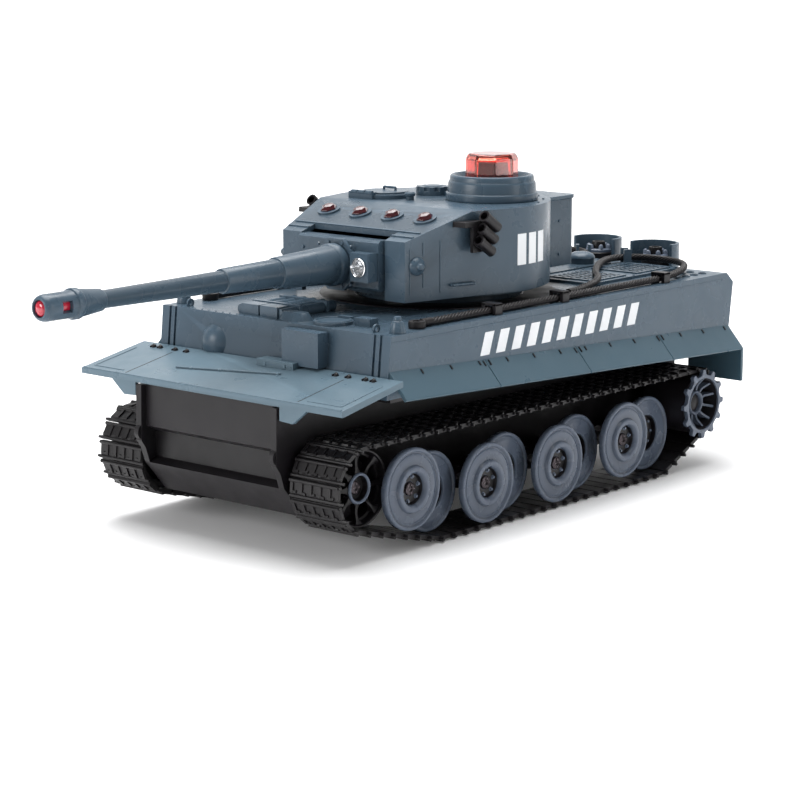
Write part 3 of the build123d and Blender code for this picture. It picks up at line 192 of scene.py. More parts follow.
MUZZLE_RED = tinted_lens("muzzle red", (0.62, 0.018, 0.050), 0.08, 0.30)
DOME_RED = tinted_lens("red dome", (0.95, 0.16, 0.11), 0.035, 0.97)
GLASS = tinted_lens("lamp glass", (0.92, 0.94, 0.96), 0.05, 0.95)


# ---------------------------------------------------------------- mesh helpers, all in millimetres
def finish_piece(mesh_data, name, body, material, replaced=(), bevel=0.0, bevel_angle=32, sharp=38):
    """Turns a bmesh in millimetres into a piece that rides on a body."""
    bmesh.ops.scale(mesh_data, vec=(MM, MM, MM), verts=mesh_data.verts)
    bmesh.ops.recalc_face_normals(mesh_data, faces=mesh_data.faces)
    mesh = bpy.data.meshes.new(name)
    mesh_data.to_mesh(mesh)
    mesh_data.free()
    mesh.materials.append(material)
    mesh.shade_smooth()
    mesh.set_sharp_from_angle(angle=math.radians(sharp))
    obj = bpy.data.objects.new(name, mesh)
    bpy.context.scene.collection.objects.link(obj)
    if bevel:
        modifier = obj.modifiers.new("rounding", "BEVEL")
        modifier.width = bevel * MM
        modifier.segments = 2
        modifier.limit_method = "ANGLE"
        modifier.angle_limit = math.radians(bevel_angle)
        modifier.harden_normals = True
        modifier.miter_outer = "MITER_ARC"
        weighted = obj.modifiers.new("flat faces", "WEIGHTED_NORMAL")
        weighted.keep_sharp = True
    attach(obj, body)
    if replaced:
        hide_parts(*replaced)


def softened(node, body, material, bevel):
    """A copy of a CAD node's shape with its moulded edges rounded, shown in its place."""
    shape = bmesh.new()
    shape.from_mesh(frame["nodes"][node].data)
    bmesh.ops.scale(shape, vec=(1 / MM,) * 3, verts=shape.verts)
    bmesh.ops.remove_doubles(shape, verts=shape.verts, dist=0.002)
    bmesh.ops.dissolve_limit(shape, angle_limit=math.radians(1.5), verts=shape.verts, edges=shape.edges)
    finish_piece(shape, node + "_shell", body, material, (node,), bevel)


def block(shape, low, high):
    """A box between two corners."""
    low, high = Vector(low), Vector(high)
    made = bmesh.ops.create_cube(shape, size=1.0)["verts"]
    bmesh.ops.scale(shape, vec=high - low, verts=made)
    bmesh.ops.translate(shape, vec=(low + high) / 2, verts=made)


def tube(shape, start, end, radius, end_radius=None, sides=32):
    """A round or many-sided rod from start to end."""
    start, end = Vector(start), Vector(end)
    run = end - start
    turn = Vector(UP).rotation_difference(run.normalized()).to_matrix().to_4x4()
    last = radius if end_radius is None else end_radius
    place = Matrix.Translation((start + end) / 2) @ turn
    bmesh.ops.create_cone(
        shape, cap_ends=True, segments=sides, radius1=radius, radius2=last, depth=run.length, matrix=place
    )


def skin(shape, rings, closed=False):
    """Faces between each ring of vertices and the next; closed joins the last ring to the first."""
    for first, second in zip(rings, rings[1:] + rings[:1] if closed else rings[1:]):
        for k in range(len(first)):
            n = (k + 1) % len(first)
            shape.faces.new((first[k], first[n], second[n], second[k]))


def cap(shape, rings):
    """Faces that close the first and the last ring."""
    shape.faces.new(rings[0])
    shape.faces.new(list(reversed(rings[-1])))


def bolt(shape, at, outward, radius=0.55, height=0.4, sides=6):
    at, outward = Vector(at), Vector(outward).normalized()
    tube(shape, at - outward * 0.2, at + outward * height, radius, radius * 0.86, sides)


def lathe(shape, profile, centre, axis, segments=96):
    """Turns a profile of (along, radius) pairs about an axis through centre."""
    centre, axis = Vector(centre), Vector(axis).normalized()
    across = axis.orthogonal().normalized()
    other = axis.cross(across)
    rings = []
    for along, radius in profile:
        spokes = [across * math.cos(a) + other * math.sin(a) for a in
                  (2 * math.pi * k / segments for k in range(segments))]
        rings.append([shape.verts.new(centre + axis * along + spoke * radius) for spoke in spokes])
    skin(shape, rings, True)


def arm_at(angle):
    """Unit arm across the axles at an angle from straight back."""
    return Vector((0, math.cos(angle), math.sin(angle)))


def prism(shape, outline, direction):
    """A solid made by pushing a flat outline of 3-D points along a direction."""
    direction = Vector(direction)
    near = [shape.verts.new(Vector(point)) for point in outline]
    far = [shape.verts.new(vert.co + direction) for vert in near]
    shape.faces.new(near)
    shape.faces.new(list(reversed(far)))
    for k in range(len(near)):
        n = (k + 1) % len(near)
        shape.faces.new((near[k], far[k], far[n], near[n]))


def dress(node, material):
    """Gives a CAD node that stays in view a finished material."""
    mesh_object = frame["nodes"][node]
    if not mesh_object.material_slots:
        mesh_object.data.materials.append(material)
    for slot in mesh_object.material_slots:
        slot.material = material


# ---------------------------------------------------------------- running gear
ROAD_R = 12.4
RIM = [
    (-2.2, 11.1), (-2.2, ROAD_R - 0.35), (-1.9, ROAD_R), (-0.45, ROAD_R), (-0.05, ROAD_R - 0.3),
    (0.0, ROAD_R - 0.75), (-0.12, ROAD_R - 1.1), (-0.55, ROAD_R - 1.3), (-0.62, 10.9), (-0.5, 10.6),
    (-0.38, 9.0),
]
OUTER_DISC = [
    (-3.6, 1.6), (-3.6, 6.4), (-2.0, 6.8), (-2.0, 10.6), *RIM, (-0.3, 7.3), (0.25, 7.0), (0.55, 6.85),
    (0.66, 6.6), (0.66, 5.6), (0.55, 5.35), (0.15, 5.0), (-0.2, 4.75), (-0.6, 4.65), (-1.6, 4.5),
    (-1.75, 4.3), (-1.75, 2.75), (-1.9, 2.6), (-1.9, 1.6),
]
INNER_DISC = [
    (-3.6, 1.6), (-3.6, 6.4), (-2.4, 6.8), (-2.0, 10.6), *RIM, (-0.25, 7.0), (-0.12, 6.6), (-0.12, 6.3),
    (-0.4, 6.1), (-2.1, 5.95), (-2.25, 5.8), (-2.25, 1.6),
]
# dark rings in the wheels' hub recesses; their dark colour is painted shade
RECESS = {
    "outer": [(-1.8, 2.3), (-1.8, 4.4), (-0.75, 4.68), (-0.62, 4.6), (-1.6, 4.25), (-1.68, 2.3)],
    "inner": [(-2.3, 2.3), (-2.3, 5.9), (-0.6, 6.05), (-0.5, 5.95), (-2.05, 5.75), (-2.18, 2.3)],
}


def outer_wheel(shape, centre, side):
    axis = Vector((side, 0, 0))
    lathe(shape, OUTER_DISC, centre, axis)
    lathe(shape, [(-0.6, 10.55), (-0.36, 10.5), (-0.3, 10.35), (-0.6, 10.2)], centre, axis)
    for k in range(6):
        arm = arm_at(math.radians(60 * k + 15))
        bolt(shape, centre + arm * 3.75 - axis * 1.75, axis, 0.52, 0.75)
        place = centre + arm * 3.72 - axis * 1.75
        tube(shape, place, place + axis * 0.25, 0.78, 0.7, 12)


def inner_wheel(shape, centre, side):
    axis = Vector((side, 0, 0))
    lathe(shape, INNER_DISC, centre, axis)
    for k in range(8):
        arm = arm_at(math.radians(45 * k))
        bolt(shape, centre + arm * 4.7 - axis * 2.25, axis, 0.5, 0.7, 12)


def idler_wheel(shape, centre, side):
    """Black spoked wheel: thin rim, eight bowed spokes, open hub."""
    axis = Vector((side, 0, 0))
    lathe(shape, [
        (-13.1, 9.7), (-13.1, 11.3), (-12.9, 11.6), (-0.5, 11.6), (-0.12, 11.45), (0.0, 11.1),
        (-0.15, 10.8), (-0.7, 10.65), (-2.6, 10.4), (-2.6, 9.7),
    ], centre, axis)
    lathe(shape, [
        (-13.0, 1.6), (-13.0, 4.4), (-1.2, 4.6), (-0.7, 4.5), (-0.5, 4.2), (-0.7, 3.85), (-1.2, 3.65),
        (-2.9, 3.5), (-2.9, 1.6),
    ], centre, axis, 64)
    lathe(shape, [(-8.2, 4.3), (-8.2, 9.9), (-7.2, 9.9), (-7.2, 4.3)], centre, axis, 64)
    for k in range(8):
        angle = 2 * math.pi * k / 8
        rows = []
        for step in range(7):
            part = step / 6
            radius = 4.3 + 6.35 * part
            half = 0.62 + 0.95 * (2 * part - 1) ** 4
            depth = -1.3 + 0.5 * part - 0.9 * math.sin(math.pi * part)
            ring = []
            back = depth - 1.9
            section = ((depth, -half), (depth + 0.25, 0.0), (depth, half), (back, half), (back, -half))
            for along, width in section:
                turn = angle + width / radius
                ring.append(shape.verts.new(centre + axis * along + arm_at(turn) * radius))
            rows.append(ring)
        skin(shape, rows)
        cap(shape, rows)


def sprocket(shape, dish, centre, side):
    """Toothed ring round a dark dished wheel with twelve fins running down to the hub."""
    axis = Vector((side, 0, 0))
    count = 12
    lathe(dish, [(-18.0, 9.0), (-18.0, 10.3), (-1.5, 10.3), (-1.5, 9.0)], centre, axis, 64)
    flank = [(9.95, -10.0), (10.25, -6.5), (11.45, -4.2), (11.75, -3.4), (11.8, -1.2)]
    tooth = flank + [(radius, -turn) for radius, turn in reversed(flank)]
    outline = [
        (radius, 2 * math.pi * k / count + math.radians(turn)) for k in range(count) for radius, turn in tooth
    ]
    inner = [(8.85, angle) for radius, angle in outline]
    rings = []
    for along, ring in ((0.0, outline), (-1.4, outline), (-1.4, inner), (0.0, inner)):
        rings.append([shape.verts.new(centre + axis * along + arm_at(a) * r) for r, a in ring])
    skin(shape, rings, True)
    lathe(dish, [
        (-0.6, 8.9), (-0.6, 8.6), (-5.2, 8.2), (-6.2, 7.6), (-6.4, 4.4), (-7.4, 4.4), (-7.4, 9.0),
        (-1.2, 9.1),
    ], centre, axis, 72)
    lathe(shape, [
        (-17.5, 2.1), (-17.5, 4.4), (-3.6, 4.2), (-3.1, 4.0), (-2.9, 3.7), (-3.1, 3.3), (-3.5, 3.1),
        (-4.6, 3.0), (-4.6, 2.1),
    ], centre, axis, 64)
    # dark dome deep in the hub: painted shade standing for the dark hole
    lathe(dish, [(-4.5, 0.02), (-4.5, 2.9), (-4.1, 2.8), (-3.7, 2.0), (-3.5, 0.8), (-3.45, 0.02)],
          centre, axis, 32)
    for k in range(count):
        arm = arm_at(2 * math.pi * (k + 0.5) / count)
        thick = axis.cross(arm) * 0.42
        fin = [
            centre + arm * 4.0 - axis * 3.9, centre + arm * 6.2 - axis * 3.6, centre + arm * 8.6 - axis * 1.5,
            centre + arm * 8.6 - axis * 6.3, centre + arm * 4.0 - axis * 6.3,
        ]
        prism(shape, [point - thick for point in fin], thick * 2)


def phillips_screw(shape, at, axis, radius):
    """Domed screw head with a cross cut into it."""
    steps = 4
    profile = [(-0.5, 0.02), (-0.5, radius)] + [
        (0.1 + 0.5 * math.sin(math.pi / 2 * k / steps),
         radius * math.cos(math.pi / 2 * k / steps) * 0.98 + 0.02)
        for k in range(steps)
    ] + [(0.6, 0.95), (0.1, 0.55), (0.1, 0.02)]
    lathe(shape, profile, at, axis, 32)
    across, over = Vector((0, 1, 0)), Vector(UP)
    for one, two in ((across, over), (over, across)):
        for sign in (1, -1):
            lip = at + axis * 0.42 + one * sign * radius * 0.55
            corner = [
                lip + one * radius * 0.14 * a + two * 0.17 * b
                for a, b in ((-1, -1), (1, -1), (1, 1), (-1, 1))
            ]
            prism(shape, corner, axis * 0.22)


def build_wheels():
    for name, side in SIDES.items():
        high = corners("road_wheel_outer_left_1")[1].x
        inner_face = corners("road_wheel_inner_left_1")[1].x
        for number in range(1, 5):
            for row, face, maker in (("outer", high, outer_wheel), ("inner", inner_face, inner_wheel)):
                node = f"road_wheel_{row}_{name}_{number}"
                centre = pivot(f"{row}_wheel_spin_{name}_{number}")
                centre.x = side * face
                shape = bmesh.new()
                maker(shape, centre, side)
                finish_piece(shape, node + "_disc", node, WHEEL, (node,), sharp=50)
                # dark ring in the hub's recess: painted shade
                shape = bmesh.new()
                lathe(shape, RECESS[row], centre, (side, 0, 0), 48)
                finish_piece(shape, node + "_recess_painted_shade", node, TRIM, sharp=50)
        centre = pivot("idler_spin_" + name)
        centre.x = side * corners("idler_wheel_left")[1].x
        shape = bmesh.new()
        idler_wheel(shape, centre, side)
        node = "idler_wheel_" + name
        finish_piece(shape, node + "_spoked", "idler_" + name, TRIM, (node,), 0.12, 40)
        # grey ring on the idler's hub: a painted highlight
        shape = bmesh.new()
        lathe(shape, [
            (-0.95, 4.62), (-0.42, 4.42), (-0.3, 4.15), (-0.42, 3.9), (-0.95, 3.72),
        ], centre, (side, 0, 0), 64)
        finish_piece(shape, node + "_hub_highlight", "idler_" + name, WHEEL, sharp=60)
        centre = pivot("sprocket_spin_" + name)
        centre.x = side * corners("drive_sprocket_left")[1].x
        shape, dish = bmesh.new(), bmesh.new()
        sprocket(shape, dish, centre, side)
        node = "drive_sprocket_" + name
        finish_piece(shape, node + "_toothed", "sprocket_" + name, WHEEL, (node,), 0.14, 35)
        finish_piece(dish, node + "_dish", "sprocket_" + name, TRIM, sharp=40)


def build_wheel_screws():
    shape = bmesh.new()
    axle_end = {"outer": corners("road_wheel_outer_left_1")[1].x - 1.8,
                "inner": corners("road_wheel_inner_left_1")[1].x - 2.1}
    for name, side in SIDES.items():
        axis = Vector((side, 0, 0))
        for number in range(1, 5):
            for row, end in axle_end.items():
                at = pivot(f"{row}_wheel_spin_{name}_{number}")
                at.x = side * (end + 0.35)
                phillips_screw(shape, at, axis, 2.1)
        at = pivot("idler_spin_" + name)
        at.x = side * (corners("idler_wheel_left")[1].x - 2.5)
        phillips_screw(shape, at, axis, 2.1)
    finish_piece(shape, "wheel_screw_heads", "hull", SCREW, ("wheel_screws",), sharp=40)


# the band's path: round the idler, along the ground under the inner wheels, round the sprocket and back
BELT_GAP = 0.25
BAND_T = 1.2
GROUSER_H = 0.65
LINK_PITCH = 5.6


def belt_circles(side_name):
    idler, drum = pivot("idler_spin_" + side_name), pivot("sprocket_spin_" + side_name)
    first, last = pivot(f"inner_wheel_spin_{side_name}_1"), pivot(f"inner_wheel_spin_{side_name}_4")
    return [(centre.y, centre.z, radius + BELT_GAP) for centre, radius in
            ((idler, 11.6), (first, ROAD_R), (last, ROAD_R), (drum, 10.3))]


def belt_places(side_name, pitch):
    """Evenly spaced (y, z, outward angle) along the band's inner face."""
    circles = belt_circles(side_name)
    runs = []
    for (y1, z1, r1), (y2, z2, r2) in zip(circles, circles[1:] + circles[:1]):
        span = math.hypot(y2 - y1, z2 - z1)
        normal = math.atan2(z2 - z1, y2 - y1) - math.pi / 2 + (r1 - r2) / span
        reach = Vector((math.cos(normal), math.sin(normal)))
        runs.append((Vector((y1, z1)) + reach * r1, Vector((y2, z2)) + reach * r2, normal))
    stretches = []
    for index, (start, end, normal) in enumerate(runs):
        after = (index + 1) % len(runs)
        stretches.append(((end - start).length, start, end, normal, 0.0))
        sweep = (runs[after][2] - normal) % (2 * math.pi)
        y, z, radius = circles[after]
        stretches.append((radius * sweep, Vector((y, z)), radius, normal, sweep))
    total = sum(stretch[0] for stretch in stretches)
    count = round(total / pitch)
    places = []
    for number in range(count):
        along = number * total / count
        for length, start, end, normal, sweep in stretches:
            if along <= length:
                break
            along -= length
        if sweep:
            angle = normal + along / end
            places.append((start.x + end * math.cos(angle), start.y + end * math.sin(angle), angle))
        else:
            spot = start.lerp(end, along / length)
            places.append((spot.x, spot.y, normal))
    return places


def track_link(shape, y, z, angle, side, low_x, high_x, pin_x, number):
    """One link: body, hinge pin, grip bar and ribs, each rising outward from the band's inner face."""
    out = arm_at(angle)
    along = Vector((0, -math.sin(angle), math.cos(angle)))
    sideways = Vector((side, 0, 0))
    foot = Vector((0, y, z))

    def strip(from_x, to_x, profile, slant=0.0):
        outline = [foot + along * u + out * w + sideways * from_x for u, w in profile]
        prism(shape, outline, sideways * (to_x - from_x) + along * slant)

    strip(low_x + 0.3, high_x - 0.3, [
        (-2.3, 0.0), (2.3, 0.0), (2.35, 0.8), (1.9, 1.15), (-1.9, 1.15), (-2.35, 0.8),
    ])
    pin_middle = foot + along * (LINK_PITCH / 2) + out * 0.6
    tube(shape, pin_middle + sideways * low_x, pin_middle + sideways * high_x, 0.56, sides=10)
    tall = BAND_T + GROUSER_H - 0.12
    strip(low_x + 0.1, high_x - 0.1, [
        (-2.3, 1.0), (-1.15, 1.0), (-1.4, tall - 0.1), (-1.55, tall), (-2.0, tall), (-2.15, tall - 0.1),
    ])
    ribs = 5
    width = (high_x - low_x - 0.8) / ribs
    lean = 0.55 if number % 2 else -0.55
    for k in range(ribs):
        start = low_x + 0.55 + k * width
        mid = start + width * 0.30
        turn = lean if k % 2 else -lean
        strip(start, mid, [(-1.3, 1.0), (2.2, 1.0), (1.95, 1.55), (-1.3, 1.55)])
        strip(mid, start + width * 0.62, [(1.1, 1.0), (2.2, 1.0), (1.95, 1.5), (1.3, 1.5)], turn * 0.3)
    if pin_x:
        tube(shape, pin_middle + sideways * (high_x - 0.3), pin_middle + sideways * pin_x, 0.62, 0.46, 8)
        stud = foot - along * 1.7 + out * 0.75
        tube(shape, stud + sideways * (high_x - 0.4), stud + sideways * (high_x + 0.35), 0.62, 0.5, 8)


def build_tracks():
    for name, side in SIDES.items():
        node = "track_" + name
        low, high = corners("track_left")
        outer_x = high.x - 1.3
        drum = pivot("sprocket_spin_" + name)
        shape = bmesh.new()
        for number, (y, z, angle) in enumerate(belt_places(name, LINK_PITCH)):
            near_ring = math.hypot(y - drum.y, z - drum.z) < 15.5
            track_link(shape, y, z, angle, side, low.x, outer_x, None if near_ring else high.x, number)
        finish_piece(shape, node + "_links", "hull", RUBBER, (node,), sharp=35)


# ---------------------------------------------------------------- hull
def slanted_bars(shape, x, first_y, last_y, low_z, high_z, width, pitch, lean, thick):
    """Row of plain slanted bars printed on a side wall."""
    count = int((last_y - first_y - width - lean) / pitch) + 1
    for k in range(count):
        y = first_y + k * pitch
        outline = [(x, y, low_z), (x, y + width, low_z), (x, y + width + lean, high_z), (x, y + lean, high_z)]
        prism(shape, outline, (thick, 0, 0))


def air_holes(side):
    """Middles of the two rows of round holes on the deck's rear corner."""
    return [
        Vector((side * (36.6 + 5.0 * row), 104.0 + 5.0 * k, DECK_Z)) for row in range(2) for k in range(4)
    ]


def build_hull():
    half = corners("upper_hull")[1].x
    softened("upper_hull", "hull", PAINT, 0.35)
    shape = bmesh.new()
    for side in (1, -1):
        # weld line along the top of the side wall
        block(shape, (side * half - 0.15, -49.6, DECK_Z - 2.1), (side * half + 0.12, 125.4, DECK_Z - 1.8))
        for k in range(4):
            bolt(shape, (side * 35.5, 62 - k * 12.5, DECK_Z), UP, 0.6, 0.35)
        # tie-down eye near the front corner
        lathe(shape, [(-0.35, 0.8), (0.35, 0.8), (0.35, 1.4), (-0.35, 1.4)],
              (side * 38.5, -46.5, DECK_Z + 1.0), (1, 0, 0), 24)
        # rows of round air holes' rims on the deck's rear corners
        for hole in air_holes(side):
            lathe(shape, [(0.0, 0.9), (0.0, 1.45), (0.35, 1.35), (0.35, 1.0)], hole, UP, 20)
    for k in range(10):
        bolt(shape, (-40 + k * 3.0, -48.8, DECK_Z), UP, 0.3, 0.2, 10)
    # rim and hinge of the driver's lid
    lid = Vector((18.5, -43.0, DECK_Z + 1.0))
    lathe(shape, [(0.0, 4.9), (0.0, 5.7), (0.35, 5.5), (0.35, 5.1)], lid, UP, 48)
    block(shape, lid + Vector((-2.6, 4.6, -0.6)), lid + Vector((2.6, 6.2, 0.7)))
    # bands round the bundle of cleaning rods
    for y in (-39.5, -27.5):
        block(shape, (-18.4, y, DECK_Z - 0.1), (1.6, y + 1.3, DECK_Z + 3.3))
    # triangular catch beside the driver's visor
    prism(shape, [(6.4, -50.6, 63.4), (8.6, -50.6, 63.4), (6.6, -50.6, 59.6)], (0, -0.9, 0))
    finish_piece(shape, "hull_fittings", "hull", PAINT, bevel=0.06)
    # dark caps over the cable clamps
    shape = bmesh.new()
    for side in (1, -1):
        for y in (2.0, 36.0, 92.0):
            clamp = Vector((side * CABLE_X, y, DECK_Z))
            for low_x, high_x in ((-2.75, -1.4), (1.4, 2.75)):
                block(shape, clamp + Vector((low_x, -1.7, -0.1)), clamp + Vector((high_x, 1.7, 3.45)))
            block(shape, clamp + Vector((-2.75, -1.7, 2.7)), clamp + Vector((2.75, 1.7, 3.55)))
    finish_piece(shape, "cable_clamp_caps", "hull", TRIM, bevel=0.15)
    # dark ring on the deck round the turret's foot: painted shadow under the turret
    shape = bmesh.new()
    lathe(shape, [(0.0, 27.6), (0.0, 38.6), (0.3, 38.4), (0.45, 37.8), (0.45, 28.2), (0.3, 27.7)],
          (0, TURRET_Y, DECK_Z), UP, 128)
    finish_piece(shape, "turret_painted_shadow", "hull", TRIM)
    # dark floors of the air holes: painted shade down in the holes
    shape = bmesh.new()
    for side in (1, -1):
        for hole in air_holes(side):
            tube(shape, hole - Vector((0, 0, 0.1)), hole + Vector((0, 0, 0.06)), 1.0, 0.95, 20)
    finish_piece(shape, "air_holes", "hull", BLACK)
    # generic printed marks: slanted bars along both sides
    shape = bmesh.new()
    for side in (1, -1):
        slanted_bars(shape, side * (half + 0.005), -9.0, 78.0, 53.4, 60.4, 4.4, 7.6, 2.4, side * 0.045)
    finish_piece(shape, "side_stripes", "hull", WHITE)


def build_fender():
    softened("front_mudguard", "hull", FENDER, 0.25)
    front, back = -78.5, -52.2
    rise = (52.6 - 47.7) / (back - front)
    lift = math.atan(rise)
    up = Vector((0, -math.sin(lift), math.cos(lift)))

    def on_top(x, y):
        return Vector((x, y, 47.7 + (y - front) * rise))

    def ridge(ends, wide, tall):
        """A low straight ridge lying on the plate between two (x, y) places."""
        (x1, y1), (x2, y2) = ends
        along = Vector((x2 - x1, y2 - y1)).normalized() * wide / 2
        corners_on_top = [on_top(x1 - along.y, y1 + along.x), on_top(x1 + along.y, y1 - along.x),
                          on_top(x2 + along.y, y2 - along.x), on_top(x2 - along.y, y2 + along.x)]
        prism(shape, [corner - up * 0.1 for corner in corners_on_top], up * (tall + 0.1))

    shape = bmesh.new()
    for side in (1, -1):
        # stiffening ridge inside the hinged flap's edge
        ridge(((side * 38.0, front + 3.0), (side * 51.0, front + 3.0)), 0.5, 0.16)
        ridge(((side * 51.0, front + 3.0), (side * 51.0, back - 6.0)), 0.5, 0.16)
    # raised lip along the plate's front edge
    ridge(((-53.2, front + 0.5), (53.2, front + 0.5)), 0.7, 0.3)
    # thin rod held across the plate, with its clips
    tube(shape, on_top(-23.0, -68.0) + up * 0.35, on_top(14.0, -61.0) + up * 0.35, 0.28, sides=10)
    for x, y in ((-17.6, -66.9), (-7.2, -65.0), (13.0, -61.2)):
        lathe(shape, [(-0.1, 0.02), (-0.1, 0.75), (0.6, 0.6), (0.75, 0.02)], on_top(x, y), up, 16)
    # lid line and catches of the low box
    block(shape, (0.6, -57.2, 52.6), (14.4, -57.0, 52.8))
    for x in (3.5, 11.5):
        block(shape, (x - 0.5, -57.3, 52.1), (x + 0.5, -57.0, 53.1))
    finish_piece(shape, "fender_fittings", "hull", FENDER, bevel=0.05)
    # dark seams of the hinged flaps and the dark caps of their hinge pins
    shape = bmesh.new()
    for side in (1, -1):
        ridge(((side * 35.6, front + 1.2), (side * 35.6, back - 5.2)), 0.34, 0.05)
        for x in (31.0, 36.0, 42.6, 45.6):
            lathe(shape, [(-0.2, 0.02), (-0.2, 0.85), (0.7, 0.62), (1.15, 0.02)],
                  on_top(side * x, -55.6), up, 12)
            ridge(((side * x - 1.0, -56.3), (side * x - 1.0, -54.6)), 0.35, 0.5)
    finish_piece(shape, "fender_seams", "hull", TRIM, bevel=0.04)


SKIRT_FRONT_Y, SKIRT_REAR_Y = -50.8, 127.2
SKIRT_DROP = 7.9
SKIRT_SPLITS = (-7.0, 39.0, 84.7)
HINGE_PITCH = 13.4


def build_skirts():
    run = SKIRT_REAR_Y - SKIRT_FRONT_Y
    half = corners("side_skirt_left")[1].x
    wall = corners("upper_hull")[1].x
    edges = [SKIRT_FRONT_Y, *SKIRT_SPLITS, SKIRT_REAR_Y]
    for name, side in SIDES.items():
        shape = bmesh.new()
        for start, end in zip(edges, edges[1:]):
            near = start + (0.14 if start > SKIRT_FRONT_Y else 0)
            far = end - (0.14 if end < SKIRT_REAR_Y else 0)
            drop = SKIRT_DROP * (near - SKIRT_FRONT_Y) / run
            outline = [
                (side * (wall + 0.02), near, 54.3 - drop), (side * (half - 0.25), near, 47.15 - drop),
                (side * half, near, 46.8 - drop), (side * (half - 0.2), near, 46.35 - drop),
                (side * (half - 0.9), near, 46.2 - drop), (side * (wall + 0.02), near, 52.6 - drop),
            ]
            prism(shape, outline, (0, far - near, -SKIRT_DROP * (far - near) / run))
        # rear mudguard that closes the skirt's end
        outline = [
            (side * 32.0, SKIRT_REAR_Y - 1.3, 45.5), (side * wall, SKIRT_REAR_Y - 1.3, 45.5),
            (side * half, SKIRT_REAR_Y - 1.3, 39.0), (side * half, SKIRT_REAR_Y - 1.3, 27.6),
            (side * 32.0, SKIRT_REAR_Y - 1.3, 27.6),
        ]
        prism(shape, outline, (0, 1.3, 0))
        node = "side_skirt_" + name
        finish_piece(shape, node + "_panels", "hull", SKIRT, (node,), 0.16)
        # hinge lugs along the top edge
        shape = bmesh.new()
        slope = Vector((side * (half - wall), 0, -7.3)).normalized()
        out = Vector((side * 7.3, 0, half - wall)).normalized()

        def lug(y, height_y, half_width, length):
            """A lug at y, as high as the skirt's top edge is at height_y."""
            z = 54.3 - SKIRT_DROP * (height_y - SKIRT_FRONT_Y) / run
            at = Vector((side * (wall + 0.3), y, z - 0.5))
            left, right = at - Vector((0, half_width, 0)), at + Vector((0, half_width, 0))
            prism(shape, [left, right, right + slope * length, left + slope * length], out * 0.4)

        count = int((run - 14) / HINGE_PITCH) + 1
        for k in range(count):
            y = SKIRT_FRONT_Y + 13.6 + k * HINGE_PITCH
            lug(y, y, 0.3, 1.5)
        for y in SKIRT_SPLITS:
            for offset in (-1.3, 1.3):
                lug(y + offset, y, 0.25, 2.0)
        finish_piece(shape, node + "_lugs", "hull", TRIM, bevel=0.06)


def build_tub():
    softened("lower_hull", "hull", DARK, 0.3)
    softened("battery_door", "hull", DARK, 0.15)
    shape = bmesh.new()
    for side in (1, -1):
        # tow eyes on the cheeks
        lathe(shape, [(-0.9, 1.3), (0.9, 1.3), (0.9, 2.4), (-0.9, 2.4)],
              (side * 28.0, -78.0, 31.0), (1, 0, 0), 32)
        for k in range(7):
            bolt(shape, (side * 29.1, -30 + k * 22.0, 40.5), (side, 0, 0), 0.6, 0.35)
    finish_piece(shape, "tub_fittings", "hull", DARK, bevel=0.08)
    # grip ridges of the battery door
    low = corners("battery_door")[0]
    shape = bmesh.new()
    for k in range(9):
        y = low.y + 4.0 + k * 1.6
        block(shape, (-8, y, low.z), (8, y + 0.7, low.z + 0.3))
    finish_piece(shape, "door_grips", "hull", DARK, bevel=0.05)


def build_engine_deck():
    dress("engine_deck", PAINT)
    insert, grille = DECK_Z + 0.9, DECK_Z + 1.3
    shape = bmesh.new()
    for side in (1, -1):
        for y in (71.4, 95.0, 120.0):
            for x in (8.6, 29.9):
                bolt(shape, (side * x, y, insert), UP, 0.5, 0.25)
        # bars that divide the air slots into squares
        for y0, y1 in ((73.4, 91.6), (98.4, 117.6)):
            for k in range(5):
                x = side * (12.6 + k * 3.5)
                block(shape, (x - 0.3, y0, insert - 0.2), (x + 0.3, y1, grille + 0.1))
    for y in (80.0, 96.0):
        for x in (-5.6, 5.6):
            bolt(shape, (x, y, grille), UP, 0.5, 0.3)
    # domed filler cap on the middle strip
    lathe(shape, [(0.0, 0.02), (0.0, 4.7), (0.6, 4.6), (1.3, 4.1), (1.9, 2.9), (2.2, 1.2), (2.25, 0.02)],
          (0, 106.0, DECK_Z + 3.2), UP, 48)
    finish_piece(shape, "engine_deck_bars", "hull", PAINT, bevel=0.06)
    # dark floors of the air slots: painted shade down in the slots
    shape = bmesh.new()
    for side in (1, -1):
        for y0, y1 in ((74.6, 90.6), (100.2, 116.2)):
            block(shape, (side * 19.5 - 8.1, y0, insert - 0.12), (side * 19.5 + 8.1, y1, insert - 0.02))
    finish_piece(shape, "air_slot_shade_floors", "hull", BLACK, bevel=0.02)


